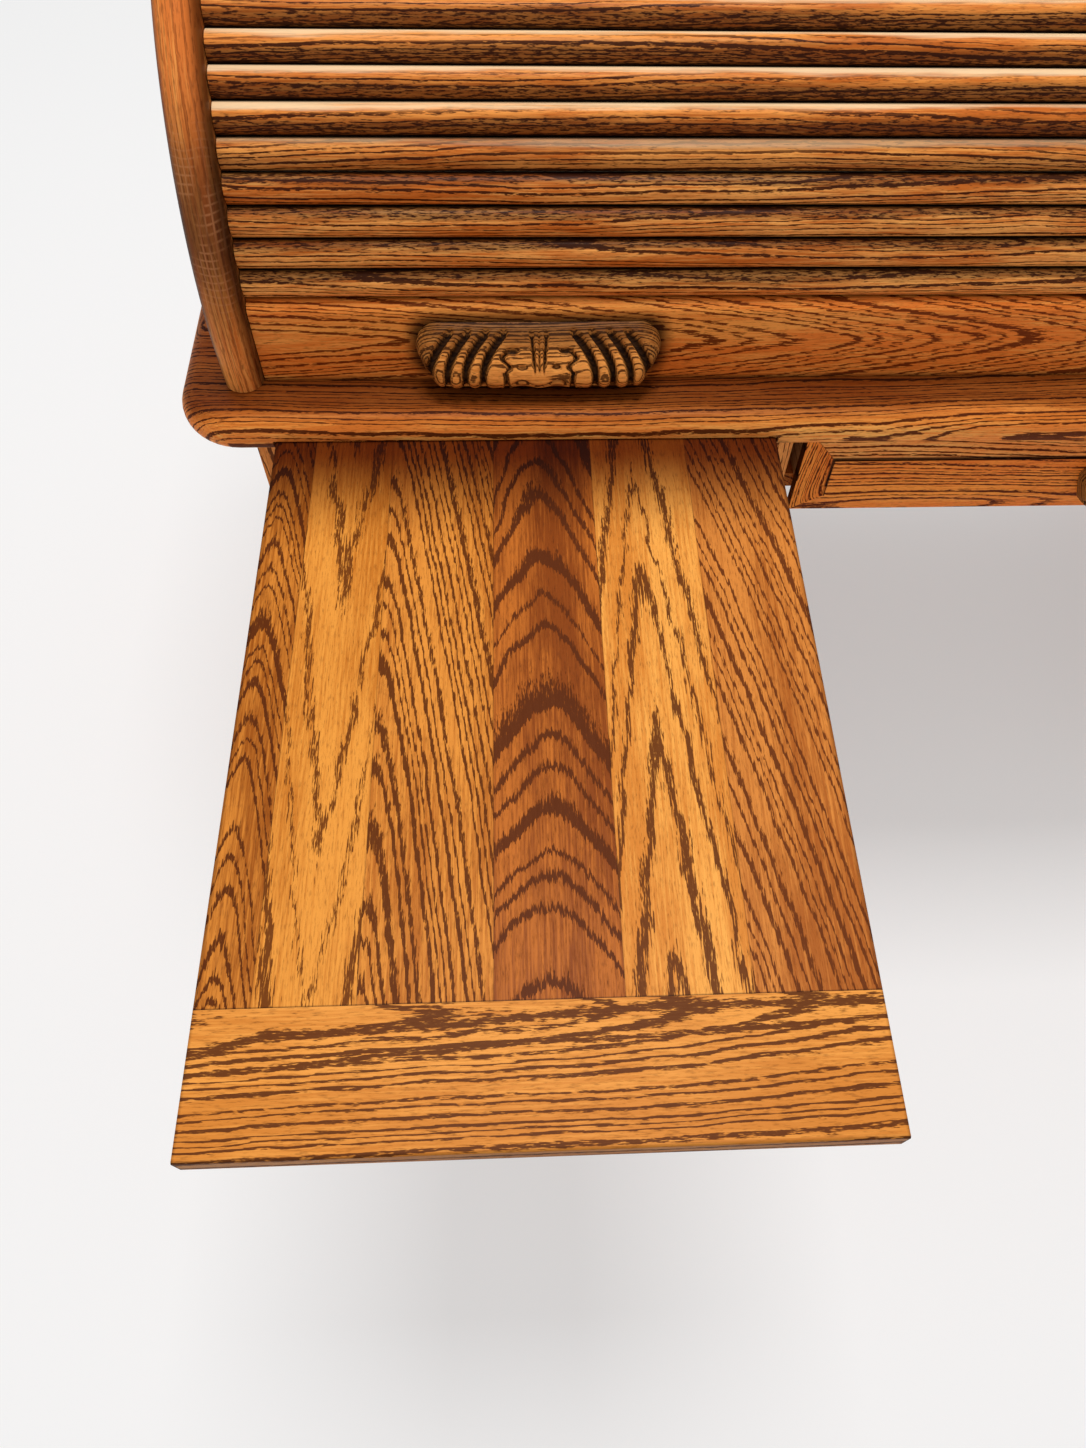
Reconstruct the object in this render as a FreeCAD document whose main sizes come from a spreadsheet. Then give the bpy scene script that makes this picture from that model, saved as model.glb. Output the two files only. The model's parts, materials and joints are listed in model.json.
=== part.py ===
"""Tambour desk: two drawer pedestals under a solid top, with a roll of slats above it.

Millimetres. +X is to the sitter's right, +Y goes from the sitter to the back, +Z is up. The origin is
on the floor, midway between the pulled-out writing slide and the back of the desktop.
"""
import FreeCAD, Part
import math
import os
import Sketcher

LEFT, RIGHT = -1, 1
SIDES = (("left", LEFT), ("right", RIGHT))

doc = FreeCAD.newDocument("TambourDesk")
sheet = doc.addObject("Spreadsheet::Sheet", "Sizes")


# ---------------------------------------------------------------- sizes, and sums of sizes

class Size:
    """A length or angle that is kept as a spreadsheet expression, with its present value."""

    def __init__(self, text, value):
        self.text = text
        self.value = value

    def joined(self, sign, other, value):
        return Size(f"({self.text} {sign} {other.text})", value)

    def __add__(self, other):
        other = as_size(other)
        return self.joined("+", other, self.value + other.value)

    def __sub__(self, other):
        other = as_size(other)
        return self.joined("-", other, self.value - other.value)

    def __mul__(self, other):
        other = as_size(other)
        return self.joined("*", other, self.value * other.value)

    def __truediv__(self, other):
        other = as_size(other)
        return self.joined("/", other, self.value / other.value)

    def __rsub__(self, other):
        return as_size(other) - self

    def __neg__(self):
        return Size(f"(-1 * {self.text})", -self.value)

    __radd__ = __add__
    __rmul__ = __mul__


def as_size(thing):
    """A plain number as a Size; a Size stays as it is."""
    return thing if isinstance(thing, Size) else Size(repr(thing), thing)


def sine(angle):
    return Size(f"sin({angle.text})", math.sin(math.radians(angle.value)))


def cosine(angle):
    return Size(f"cos({angle.text})", math.cos(math.radians(angle.value)))


def root(number):
    return Size(f"sqrt({number.text})", math.sqrt(number.value))


def arc_sine(ratio):
    return Size(f"asin({ratio.text}) / 1 deg", math.degrees(math.asin(ratio.value)))


def size(name, value, meaning):
    """Write one driving dimension into the sheet and return it."""
    size.row += 1
    sheet.set(f"A{size.row}", meaning)
    sheet.set(f"B{size.row}", str(value))
    sheet.setAlias(f"B{size.row}", name)
    return Size(f"Sizes.{name}", float(value))


size.row = 0
ZERO = as_size(0.0)
SPARE = 1.0   # how far a cutting shape reaches past the wood

# the desktop
desktop_width = size("desktop_width", 1727, "desktop, left to right")
desktop_depth = size("desktop_depth", 750, "desktop, front to back")
desktop_height = size("desktop_height", 762, "floor to the top face of the desktop")
desktop_thickness = size("desktop_thickness", 31, "desktop board")
desktop_corner = size("desktop_corner", 46, "front corners of the desktop, seen from above")
bullnose_land = size("bullnose_land", 0.8, "flat left between the two halves of a rounded edge")

# the two pedestals
pedestal_inset = size("pedestal_inset", 49.6, "desktop end to the pedestal's outer face")
pedestal_setback = size("pedestal_setback", 30.5, "desktop front edge back to the stiles")
pedestal_rear_gap = size("pedestal_rear_gap", 15, "pedestal back to the rear edge of the desktop")
plinth_height = size("plinth_height", 70, "plinth ring")
plinth_board = size("plinth_board", 22, "plinth boards, front to back of one board")
plinth_proud = size("plinth_proud", 6, "plinth in front of the pedestal's faces")
plinth_bevel = size("plinth_bevel", 5, "bevel along the top of the plinth")
bottom_thickness = size("bottom_thickness", 19, "bottom board of a pedestal")
stile_width = size("stile_width", 23, "front stile, left to right")
stile_depth = size("stile_depth", 22, "front stiles and rails, front to back")
side_thickness = size("side_thickness", 22, "inner and outer sides of a pedestal")
side_stile = size("side_stile", 70, "stiles and rails of the panelled outer side")
side_panel_edge = size("side_panel_edge", 8, "edge of a side panel, in its groove")
side_panel_thickness = size("side_panel_thickness", 17, "raised field of a side panel")
side_panel_bevel = size("side_panel_bevel", 32, "sloping border of a side panel")
side_panel_tongue = size("side_panel_tongue", 8, "reach of a side panel into its frame")
back_thickness = size("back_thickness", 10, "back board of a pedestal")
rail_height = size("rail_height", 15, "rail between two drawers")
slide_rail_height = size("slide_rail_height", 20, "rail under the writing slide")
runner_width = size("runner_width", 18, "runner under a drawer side")
drawer_opening = size("drawer_opening", 150, "height of the opening of each upper drawer")

# the writing slides
slide_width = size("slide_width", 381, "writing slide, left to right")
slide_thickness = size("slide_thickness", 19, "writing slide")
slide_rear_gap = size("slide_rear_gap", 53, "closed slide to the back board")
slide_hold = size("slide_hold", 147.6, "part of the drawn slide that stays under the desktop")
slide_closed_setback = size("slide_closed_setback", 12, "closed slide behind the desktop's front edge")
slide_side_play = size("slide_side_play", 2.2, "slide to the stile on each side")
slide_top_play = size("slide_top_play", 1, "slide to the roof of its notch")
slide_end_rail = size("slide_end_rail", 79, "rail across the front end of a slide")
slide_tail_rail = size("slide_tail_rail", 60, "rail across the rear end of a slide")
slide_tongue = size("slide_tongue", 12, "tongue of the boards in the end rails")
slide_tongue_thickness = size("slide_tongue_thickness", 6.4, "the same tongue, top to bottom")
slide_edge = size("slide_edge", 1.5, "rounding of the end rail's front edges")
slide_stop_depth = size("slide_stop_depth", 26, "stop block under a slide, front to back")
slide_stop_height = size("slide_stop_height", 12, "stop block under a slide")
slide_stop_gap = size("slide_stop_gap", 1, "stop block to the rail when the slide is drawn")
notch_roof = size("notch_roof", 17, "wood left above the slide's notch")
stave_cuts = [
    size("stave_cut_one", 0.081, "first glue line, as a share of the slide's width"),
    size("stave_cut_two", 0.232, "second glue line"),
    size("stave_cut_three", 0.430, "third glue line"),
    size("stave_cut_four", 0.622, "fourth glue line"),
    size("stave_cut_five", 0.812, "fifth glue line"),
]

# the drawers
seat_gap = size("seat_gap", 0.3, "a moving piece above what carries it")
front_thickness = size("front_thickness", 20, "drawer front at its raised field")
front_rise = size("front_rise", 9.2, "raised field in front of the drawer front's edge")
front_proud = size("front_proud", 6.8, "raised field in front of the stiles")
front_shoulder = size("front_shoulder", 1.6, "step at the border of the field")
front_border = size("front_border", 23.9, "sloping border round the field")
front_gap = size("front_gap", 1.5, "drawer front to the frame around it")
box_wall = size("box_wall", 12, "drawer sides and back")
box_play = size("box_play", 2, "drawer side to the edge of its opening")
box_headroom = size("box_headroom", 12, "drawer side to the rail above")
box_bottom_rise = size("box_bottom_rise", 8, "drawer bottom above the lower edge of the sides")
box_bottom_thickness = size("box_bottom_thickness", 6, "drawer bottom")
box_rear_gap = size("box_rear_gap", 35, "drawer back to the back of the pedestal")
centre_front_height = size("centre_front_height", 88, "front of the drawer over the kneehole")
centre_front_drop = size("centre_front_drop", 10.7, "desktop underside to that front")
centre_side_gap = size("centre_side_gap", 12.8, "that front to the pedestal on each side")
centre_box_depth = size("centre_box_depth", 480, "box of the drawer over the kneehole")
ledge_width = size("ledge_width", 30, "ledge that carries the drawer over the kneehole")
ledge_height = size("ledge_height", 15, "the same ledge, top to bottom")
ledge_lift = size("ledge_lift", 8, "ledge above the lower edge of that drawer front")

# the carved pulls
pull_width = size("pull_width", 182, "pull, left to right")
centre_pull_width = size("centre_pull_width", 266, "longer pull of the drawer over the kneehole")
pull_height = size("pull_height", 42, "pull, top to bottom")
pull_depth = size("pull_depth", 27, "pull, out from its face")
pull_belly = size("pull_belly", 46, "radius of the pull's front")
pull_lip = size("pull_lip", 9, "height of the lip's widest point above its lower edge")
pull_lip_radius = size("pull_lip_radius", 11, "rounding under the lip")
pull_foot = size("pull_foot", 21, "depth of the flat under the pull")
pull_shoulder = size("pull_shoulder", 19, "radius of the pull's upper corners")
pull_taper = size("pull_taper", 9, "how much each end draws in towards the bottom")
pull_hollow_end = size("pull_hollow_end", 22, "wood at each end of the finger hollow")
pull_hollow_depth = size("pull_hollow_depth", 11, "finger hollow, front to back")
pull_hollow_height = size("pull_hollow_height", 20, "finger hollow, bottom to top")
pull_hollow_back = size("pull_hollow_back", 4, "wood behind the finger hollow")
roll_pull_inset = size("roll_pull_inset", 209.5, "gable to the middle of a pull on the roll")
roll_pull_lift = size("roll_pull_lift", -2.2, "those pulls above the middle of the lift rail")

# the roll: everything turns about one level line, the middle of the round track
track_back = size("track_back", 291.3, "desktop front edge back to the middle of the track")
track_lift = size("track_lift", 27, "middle of the track above the desktop")
curtain_radius = size("curtain_radius", 243, "crown of the slats")
slat_thickness = size("slat_thickness", 12, "slat, back to crown")
slat_round = size("slat_round", 6.5, "rise of a slat's rounded face")
slat_pitch = size("slat_pitch", 4.86, "angle from one slat to the next, in degrees")
slat_joint = size("slat_joint", 0.25, "gap between two slats at the canvas")
slat_count = size("slat_count", 17, "slats above the lift rail")
slat_end_play = size("slat_end_play", 0.8, "slat to the gable on each side")
tongue_thickness = size("tongue_thickness", 5, "tongue on the end of a slat, in the track")
tongue_end_play = size("tongue_end_play", 2, "tongue to the bottom of the track")
track_depth = size("track_depth", 9.5, "track in the face of a gable")
track_play = size("track_play", 0.5, "tongue to the inner and outer walls of the track")
canvas_thickness = size("canvas_thickness", 0.8, "canvas glued to the back of the slats")
canvas_margin = size("canvas_margin", 12, "gable to the edge of the canvas")
canvas_hem = size("canvas_hem", 10, "lower edge of the lift rail to the lower edge of the canvas")
lift_rail_height = size("lift_rail_height", 63, "lift rail, bottom to top")
lift_rail_round = size("lift_rail_round", 8, "rounded top edge of the lift rail")
lift_rail_seat = size("lift_rail_seat", 0.4, "lift rail above the desktop when closed")

# gables, deck and back of the roll
gable_inset = size("gable_inset", 36.1, "desktop end to the gable's outer face")
gable_thickness = size("gable_thickness", 29, "gable")
gable_proud = size("gable_proud", 15.6, "rounded front edge of the gable beyond the crown of the slats")
gable_rear_gap = size("gable_rear_gap", 15, "rear edge of the desktop to the gable")
deck_clearance = size("deck_clearance", 7, "crown of the slats to the underside of the deck")
deck_lead = size("deck_lead", 78, "deck in front of the middle of the track")
deck_thickness = size("deck_thickness", 25, "deck board")
deck_overhang = size("deck_overhang", 20, "deck beyond the gables")
deck_corner = size("deck_corner", 22, "front corners of the deck, seen from above")
roll_back_thickness = size("roll_back_thickness", 13, "board behind the roll")
roll_back_inset = size("roll_back_inset", 8, "that board in front of the gables' rear edges")

# the pigeonholes inside the roll
organiser_depth = size("organiser_depth", 206, "pigeonholes, front to back")
organiser_clearance = size("organiser_clearance", 24, "corners of the pigeonholes to the back of the slats")
organiser_board = size("organiser_board", 9, "boards of the pigeonholes")
organiser_shelf = size("organiser_shelf", 92, "shelf above the desktop")
organiser_side_gap = size("organiser_side_gap", 6, "pigeonholes to the gable on each side")
UPPER_PARTITIONS = 4
LOWER_PARTITIONS = 2

# the panel across the back of the kneehole
modesty_thickness = size("modesty_thickness", 19, "modesty panel")
modesty_clearance = size("modesty_clearance", 160, "floor to the modesty panel")
modesty_inset = size("modesty_inset", 40, "modesty panel in front of the pedestals' backs")

# ---------------------------------------------------------------- levels and planes shared by pieces

slide_length = (desktop_depth - pedestal_rear_gap - back_thickness
                - slide_rear_gap - slide_closed_setback)
slide_reach = slide_length - slide_hold

front = (slide_reach - desktop_depth) / 2
rear = front + desktop_depth
half_desktop = desktop_width / 2
desktop_under = desktop_height - desktop_thickness

pedestal_width = slide_width + slide_side_play * 2 + stile_width * 2
pedestal_outer = half_desktop - pedestal_inset
pedestal_inner = pedestal_outer - pedestal_width
pedestal_front = front + pedestal_setback
pedestal_rear = rear - pedestal_rear_gap
frame_back = pedestal_front + stile_depth
back_board_front = pedestal_rear - back_thickness
pedestal_floor = plinth_height + bottom_thickness
opening_outer = pedestal_outer - stile_width
opening_inner = pedestal_inner + stile_width

notch_top = desktop_height - notch_roof
slide_top = notch_top - slide_top_play
slide_bottom = slide_top - slide_thickness
slide_rail_top = slide_bottom - seat_gap
slide_rail_bottom = slide_rail_top - slide_rail_height
pedestal_middle = (pedestal_outer + pedestal_inner) / 2
slide_near = pedestal_middle - slide_width / 2
slide_drawn = front - slide_reach
slide_closed = front + slide_closed_setback

upper_floor = slide_rail_bottom - drawer_opening
middle_roof = upper_floor - rail_height
middle_floor = middle_roof - drawer_opening
lower_roof = middle_floor - rail_height
DRAWER_OPENINGS = (
    ("upper", upper_floor, slide_rail_bottom),
    ("middle", middle_floor, middle_roof),
    ("lower", pedestal_floor, lower_roof),
)

track_y = front + track_back
track_z = desktop_height + track_lift
slat_back = curtain_radius - slat_thickness
gable_radius = curtain_radius + gable_proud
deck_lift = curtain_radius + deck_clearance
gable_outer = half_desktop - gable_inset
gable_inner = gable_outer - gable_thickness
gable_rear = rear - gable_rear_gap
deck_under = track_z + deck_lift
roll_back_rear = gable_rear - roll_back_inset


# ---------------------------------------------------------------- pieces from plain boards

def across(side, near, far):
    """The X range between two distances from the middle, to the left or to the right."""
    return (near, far) if side == RIGHT else (-far, -near)


def board(name, x_range, y_range, z_range):
    """A square-edged board between three pairs of planes."""
    piece = doc.addObject("Part::Box", name)
    piece.Label = name
    for side_name, axis, (low, high) in zip(
            ("Length", "Width", "Height"), "xyz", (x_range, y_range, z_range)):
        piece.setExpression(side_name, (high - low).text)
        piece.setExpression(f"Placement.Base.{axis}", low.text)
    return piece


def sloped(name, near_face, far_face, y_range, turned=False):
    """A block that widens from its near face to its far face. A face is (low, high, bottom, top).

    turned lays it on its side, so that it widens along X instead of Y.
    """
    piece = doc.addObject("Part::Wedge", name)
    piece.Label = name
    amounts = {
        "Xmin": near_face[0], "Xmax": near_face[1], "Zmin": near_face[2], "Zmax": near_face[3],
        "X2min": far_face[0], "X2max": far_face[1], "Z2min": far_face[2], "Z2max": far_face[3],
        "Ymin": y_range[0], "Ymax": y_range[1],
    }
    for side_name, amount in amounts.items():
        setattr(piece, side_name, amount.value)
        piece.setExpression(side_name, amount.text)
    if turned:
        piece.Placement.Rotation = FreeCAD.Rotation(FreeCAD.Vector(0, 0, 1), 90)
    return piece


def together(name, pieces):
    """Several separate solids that belong to one sub-part."""
    group = doc.addObject("Part::Compound", name)
    group.Label = name
    group.Links = pieces
    return group


def joined(name, pieces):
    """Pieces fused into one solid."""
    group = doc.addObject("Part::MultiFuse", name)
    group.Label = name
    group.Shapes = pieces
    group.Refine = True
    return group


def cut_from(name, base, tool):
    """One solid with another taken away."""
    piece = doc.addObject("Part::Cut", name)
    piece.Label = name
    piece.Base = base
    piece.Tool = tool
    return piece


# ---------------------------------------------------------------- bodies with sketches

def curve(radius, bend):
    """An edge that is an arc. bend is +1 when the arc's centre is on the left of the way it is drawn."""
    return radius, bend


def arc_between(begin, end, radius, bend):
    """The arc from begin to end, always counter-clockwise as a sketch keeps it, and if it was turned."""
    chord = end - begin
    half = chord.Length / 2
    reach = math.sqrt(max(radius * radius - half * half, 0.0))
    left = FreeCAD.Vector(-chord.y, chord.x, 0).normalize()
    centre = (begin + end) / 2 + left * (reach * bend)
    first, last = (begin, end) if bend > 0 else (end, begin)
    start = math.atan2(first.y - centre.y, first.x - centre.x)
    stop = math.atan2(last.y - centre.y, last.x - centre.x)
    if stop < start:
        stop += 2 * math.pi
    circle = Part.Circle(centre, FreeCAD.Vector(0, 0, 1), radius)
    return Part.ArcOfCircle(circle, start, stop), bend < 0


def bind_constraint(sketch, kind, places, amount):
    """Add a constraint whose amount follows the sheet."""
    number = sketch.addConstraint(Sketcher.Constraint(kind, *places, amount.value))
    sketch.setExpression(f"Constraints[{number}]", amount.text)


def draw_outline(sketch, corners):
    """Draw a closed outline. A corner is (x, y), or (x, y, curve) when an arc leaves it."""
    spots = [FreeCAD.Vector(corner[0].value, corner[1].value, 0) for corner in corners]
    ends = []
    for index, corner in enumerate(corners):
        begin, end = spots[index], spots[(index + 1) % len(spots)]
        if len(corner) == 3:
            radius, bend = corner[2]
            edge, turned = arc_between(begin, end, radius.value, bend)
        else:
            edge, turned = Part.LineSegment(begin, end), False
        number = sketch.addGeometry(edge, False)
        ends.append((number, 2, 1) if turned else (number, 1, 2))
    for index, (number, begin, end) in enumerate(ends):
        following = ends[(index + 1) % len(ends)]
        sketch.addConstraint(Sketcher.Constraint("Coincident", number, end, following[0], following[1]))
    for (number, begin, end), corner in zip(ends, corners):
        bind_constraint(sketch, "DistanceX", (-1, 1, number, begin), corner[0])
        bind_constraint(sketch, "DistanceY", (-1, 1, number, begin), corner[1])
        if len(corner) == 3:
            bind_constraint(sketch, "Radius", (number,), corner[2][0])


def draw_circle(sketch, radius):
    """Draw a circle about the sketch's origin."""
    circle = Part.Circle(FreeCAD.Vector(0, 0, 0), FreeCAD.Vector(0, 0, 1), radius.value)
    number = sketch.addGeometry(circle, False)
    sketch.addConstraint(Sketcher.Constraint("Coincident", number, 3, -1, 1))
    bind_constraint(sketch, "Radius", (number,), radius)


def rectangle(left, right, low, high):
    """The four corners of a rectangle, counter-clockwise."""
    return [(left, low), (right, low), (right, high), (left, high)]


def rounded_front(half, low, high, corner):
    """A board seen from above, with its two front corners rounded."""
    return [
        (-half + corner, low),
        (half - corner, low, curve(corner, +1)),
        (half, low + corner),
        (half, high),
        (-half, high),
        (-half, low + corner, curve(corner, +1)),
    ]


class Piece:
    """A body whose sketches lie on its own origin planes: front (XZ), side (YZ) or plan (XY)."""

    PLANES = {"front": "XZ_Plane", "side": "YZ_Plane", "plan": "XY_Plane"}

    def __init__(self, name):
        self.name = name
        self.body = doc.addObject("PartDesign::Body", name)
        self.body.Label = name

    def place(self, x=ZERO, y=ZERO, z=ZERO, lean=None):
        """Put the body's origin somewhere. lean is the angle that raises its front side."""
        for axis, amount in zip("xyz", (x, y, z)):
            self.body.setExpression(f"Placement.Base.{axis}", amount.text)
        if lean is not None:
            self.body.Placement.Rotation = FreeCAD.Rotation(FreeCAD.Vector(-1, 0, 0), lean.value)
            self.body.setExpression("Placement.Rotation.Angle", lean.text)

    def sketch(self, plane, outlines, lift=None):
        """A sketch on one plane, lifted along that plane's normal."""
        role = self.PLANES[plane]
        sketch = self.body.newObject("Sketcher::SketchObject", f"{self.name}_sketch")
        support = next(f for f in self.body.Origin.OriginFeatures if f.Role == role)
        sketch.AttachmentSupport = [(support, "")]
        sketch.MapMode = "FlatFace"
        if lift is not None:
            sketch.setExpression("AttachmentOffset.Base.z", lift.text)
        for outline in outlines:
            draw_outline(sketch, outline)
        return sketch

    def extrude(self, kind, sketch, length, reverse, both):
        """Pad or pocket. With no length, a pocket goes through everything on both sides."""
        feature = self.body.newObject(kind, f"{self.name}_{kind[12:].lower()}")
        feature.Profile = sketch
        feature.SideType = "Symmetric" if both else "One side"
        feature.Reversed = reverse
        if length is None:
            feature.Type = "ThroughAll"
        else:
            feature.setExpression("Length", length.text)
        self.body.Tip = feature
        return feature

    def pad(self, sketch, length, reverse=False, both=False):
        return self.extrude("PartDesign::Pad", sketch, length, reverse, both)

    def pocket(self, sketch, length=None, reverse=False):
        """Cut a pocket, and make sure that it really removes wood."""
        doc.recompute()
        before = self.body.Shape.Volume
        feature = self.extrude("PartDesign::Pocket", sketch, length, reverse, both=length is None)
        doc.recompute()
        if not feature.Shape.Volume < before - SPARE:
            raise RuntimeError(f"a pocket of {self.name} removes nothing")
        return feature

    def revolve(self, sketch):
        """Turn a sketch all the way round its own level axis."""
        feature = self.body.newObject("PartDesign::Revolution", f"{self.name}_revolution")
        feature.Profile = sketch
        feature.ReferenceAxis = (sketch, ["H_Axis"])
        feature.Angle = 360.0
        self.body.Tip = feature
        return feature

    def soften(self, kind, radius, wanted):
        """Fillet or chamfer the edges of the present shape that the test wants."""
        doc.recompute()
        base = self.body.Tip
        names = [f"Edge{n}" for n, edge in enumerate(base.Shape.Edges, 1) if wanted(edge)]
        if not names:
            raise RuntimeError(f"{self.name} has no edge to soften")
        feature = self.body.newObject(f"PartDesign::{kind}", f"{self.name}_{kind.lower()}")
        feature.Base = (base, names)
        feature.setExpression("Radius" if kind == "Fillet" else "Size", radius.text)
        self.body.Tip = feature
        return feature


NEAR = 0.01   # faces closer than this lie in one plane


def level(edge):
    """True for an edge that stays at one height."""
    return edge.BoundBox.ZLength < NEAR


def lies_on_rim(edge, front_plane):
    """True for a level edge of a board, except along the square edge at its back."""
    box = edge.BoundBox
    along_back = box.YLength < NEAR and box.YMin > front_plane.value + SPARE
    return level(edge) and not along_back


# ---------------------------------------------------------------- top, pedestals and kneehole

def make_desktop():
    """The solid top: half-round edge on the front and the ends, and two notches for the slides."""
    piece = Piece("desktop")
    plan = rounded_front(half_desktop, front, rear, desktop_corner)
    piece.pad(piece.sketch("plan", [plan]), desktop_thickness)
    piece.place(z=desktop_under)
    piece.soften("Fillet", (desktop_thickness - bullnose_land) / 2,
                 lambda edge: lies_on_rim(edge, front))
    for name, side in SIDES:
        left, right = across(side, slide_near - slide_side_play,
                             slide_near + slide_width + slide_side_play)
        notch = rectangle(left, right, front - SPARE, pedestal_rear)
        piece.pocket(piece.sketch("plan", [notch]), notch_top - desktop_under, reverse=True)
    return piece.body


def make_plinth(name, side):
    """A mitred ring of boards with a bevelled top edge."""
    low, high = across(side, pedestal_inner - plinth_proud, pedestal_outer + plinth_proud)
    near, far = pedestal_front - plinth_proud, pedestal_rear
    piece = Piece(f"{name}_plinth")
    outer = rectangle(low, high, near, far)
    inner = rectangle(low + plinth_board, high - plinth_board, near + plinth_board, far - plinth_board)
    piece.pad(piece.sketch("plan", [outer, inner]), plinth_height)

    def on_outer_top(edge):
        box = edge.BoundBox
        at_top = level(edge) and box.ZMin > plinth_height.value - NEAR
        at_front = box.YLength < NEAR and box.YMin < near.value + NEAR
        at_ends = box.XLength < NEAR and (box.XMin < low.value + NEAR or box.XMin > high.value - NEAR)
        return at_top and (at_front or at_ends)

    piece.soften("Chamfer", plinth_bevel, on_outer_top)
    return piece.body


def make_side_frame(name, side):
    """Stiles and rails of the panelled outer side, grooved by the tongues of its panels."""
    x_range = across(side, pedestal_outer - side_thickness, pedestal_outer)
    top, low = desktop_under, pedestal_floor
    middle = (top + low) / 2
    near, far = frame_back, pedestal_rear
    y_inner = (near + side_stile, far - side_stile)
    pieces = [
        board(f"{name}_side_stile_front", x_range, (near, near + side_stile), (low, top)),
        board(f"{name}_side_stile_rear", x_range, (far - side_stile, far), (low, top)),
        board(f"{name}_side_rail_low", x_range, y_inner, (low, low + side_stile)),
        board(f"{name}_side_rail_middle", x_range, y_inner,
              (middle - side_stile / 2, middle + side_stile / 2)),
        board(f"{name}_side_rail_top", x_range, y_inner, (top - side_stile, top)),
    ]
    frame = together(f"{name}_side_boards", pieces)
    reach = side_panel_tongue
    groove_x = across(side, pedestal_outer - side_thickness / 2 - side_panel_edge / 2,
                      pedestal_outer - side_thickness / 2 + side_panel_edge / 2)
    groove_y = (y_inner[0] - reach, y_inner[1] + reach)
    grooves = together(f"{name}_side_grooves", [
        board(f"{name}_groove_low", groove_x, groove_y,
              (low + side_stile - reach, middle - side_stile / 2 + reach)),
        board(f"{name}_groove_high", groove_x, groove_y,
              (middle + side_stile / 2 - reach, top - side_stile + reach)),
    ])
    return cut_from(f"{name}_side_frame", frame, grooves)


def make_side_panels(name, side):
    """Two raised panels, held in the grooves of the side frame."""
    top, low = desktop_under, pedestal_floor
    middle = (top + low) / 2
    y_low = frame_back + side_stile - side_panel_tongue
    y_high = pedestal_rear - side_stile + side_panel_tongue
    spans = ((low + side_stile - side_panel_tongue, middle - side_stile / 2 + side_panel_tongue),
             (middle + side_stile / 2 - side_panel_tongue, top - side_stile + side_panel_tongue))
    edge_inner = pedestal_outer - side_thickness / 2 - side_panel_edge / 2
    edge_outer = edge_inner + side_panel_edge
    crown = edge_inner + side_panel_thickness
    bevel = side_panel_tongue + side_panel_bevel
    panels = []
    for place, (z_low, z_high) in zip(("low", "high"), spans):
        # turned on its side, a block's own X runs along the desk's depth and its Y towards the left
        flat = (y_low + side_panel_tongue, y_high - side_panel_tongue,
                z_low + side_panel_tongue, z_high - side_panel_tongue)
        field = (y_low + bevel, y_high - bevel, z_low + bevel, z_high - bevel)
        if side == RIGHT:
            slope = sloped(f"{name}_panel_{place}_slope", field, flat, (-crown, -edge_outer), turned=True)
        else:
            slope = sloped(f"{name}_panel_{place}_slope", flat, field, (edge_outer, crown), turned=True)
        panels.append(joined(f"{name}_side_panel_{place}", [
            board(f"{name}_panel_{place}_edge", across(side, edge_inner, edge_outer),
                  (y_low, y_high), (z_low, z_high)),
            slope,
        ]))
    return together(f"{name}_side_panels", panels)


def make_front_frame(name, side):
    """Two stiles, with a rail under the slide and a rail between each two drawers."""
    y_range = (pedestal_front, frame_back)
    z_range = (pedestal_floor, desktop_under)
    between = across(side, opening_inner, opening_outer)
    pieces = [
        board(f"{name}_outer_stile", across(side, opening_outer, pedestal_outer), y_range, z_range),
        board(f"{name}_inner_stile", across(side, pedestal_inner, opening_inner), y_range, z_range),
        board(f"{name}_slide_rail", between, y_range, (slide_rail_bottom, slide_rail_top)),
        board(f"{name}_upper_rail", between, y_range, (middle_roof, upper_floor)),
        board(f"{name}_lower_rail", between, y_range, (lower_roof, middle_floor)),
    ]
    return together(f"{name}_front_frame", pieces)


def make_runners(name, side):
    """Runners along both sides, at the height of the front rails."""
    y_range = (frame_back, back_board_front)
    walls = (across(side, pedestal_inner + side_thickness, pedestal_inner + side_thickness + runner_width),
             across(side, pedestal_outer - side_thickness - runner_width, pedestal_outer - side_thickness))
    levels = ((slide_rail_bottom, slide_rail_top), (middle_roof, upper_floor), (lower_roof, middle_floor))
    pieces = []
    for wall_name, x_range in zip(("inner", "outer"), walls):
        for level_name, z_range in zip(("slide", "upper", "lower"), levels):
            pieces.append(board(f"{name}_{wall_name}_{level_name}_runner", x_range, y_range, z_range))
    return together(f"{name}_runners", pieces)


def make_pedestal(name, side):
    """Everything of one pedestal that doesn't move."""
    whole = across(side, pedestal_inner, pedestal_outer)
    inside = across(side, pedestal_inner + side_thickness, pedestal_outer - side_thickness)
    inner_wall = across(side, pedestal_inner, pedestal_inner + side_thickness)
    return [
        make_plinth(name, side),
        board(f"{name}_bottom_board", whole, (pedestal_front, pedestal_rear),
              (plinth_height, pedestal_floor)),
        make_front_frame(name, side),
        make_side_frame(name, side),
        make_side_panels(name, side),
        board(f"{name}_inner_side", inner_wall, (frame_back, pedestal_rear),
              (pedestal_floor, desktop_under)),
        board(f"{name}_back_board", inside, (back_board_front, pedestal_rear),
              (pedestal_floor, desktop_under)),
        make_runners(name, side),
    ]


def make_modesty_panel():
    """The board across the back of the kneehole."""
    rear_face = pedestal_rear - modesty_inset
    return board("modesty_panel", (-pedestal_inner, pedestal_inner),
                 (rear_face - modesty_thickness, rear_face), (modesty_clearance, desktop_under))


centre_front_top = desktop_under - centre_front_drop
centre_front_bottom = centre_front_top - centre_front_height
ledge_top = centre_front_bottom + ledge_lift + ledge_height


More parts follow.
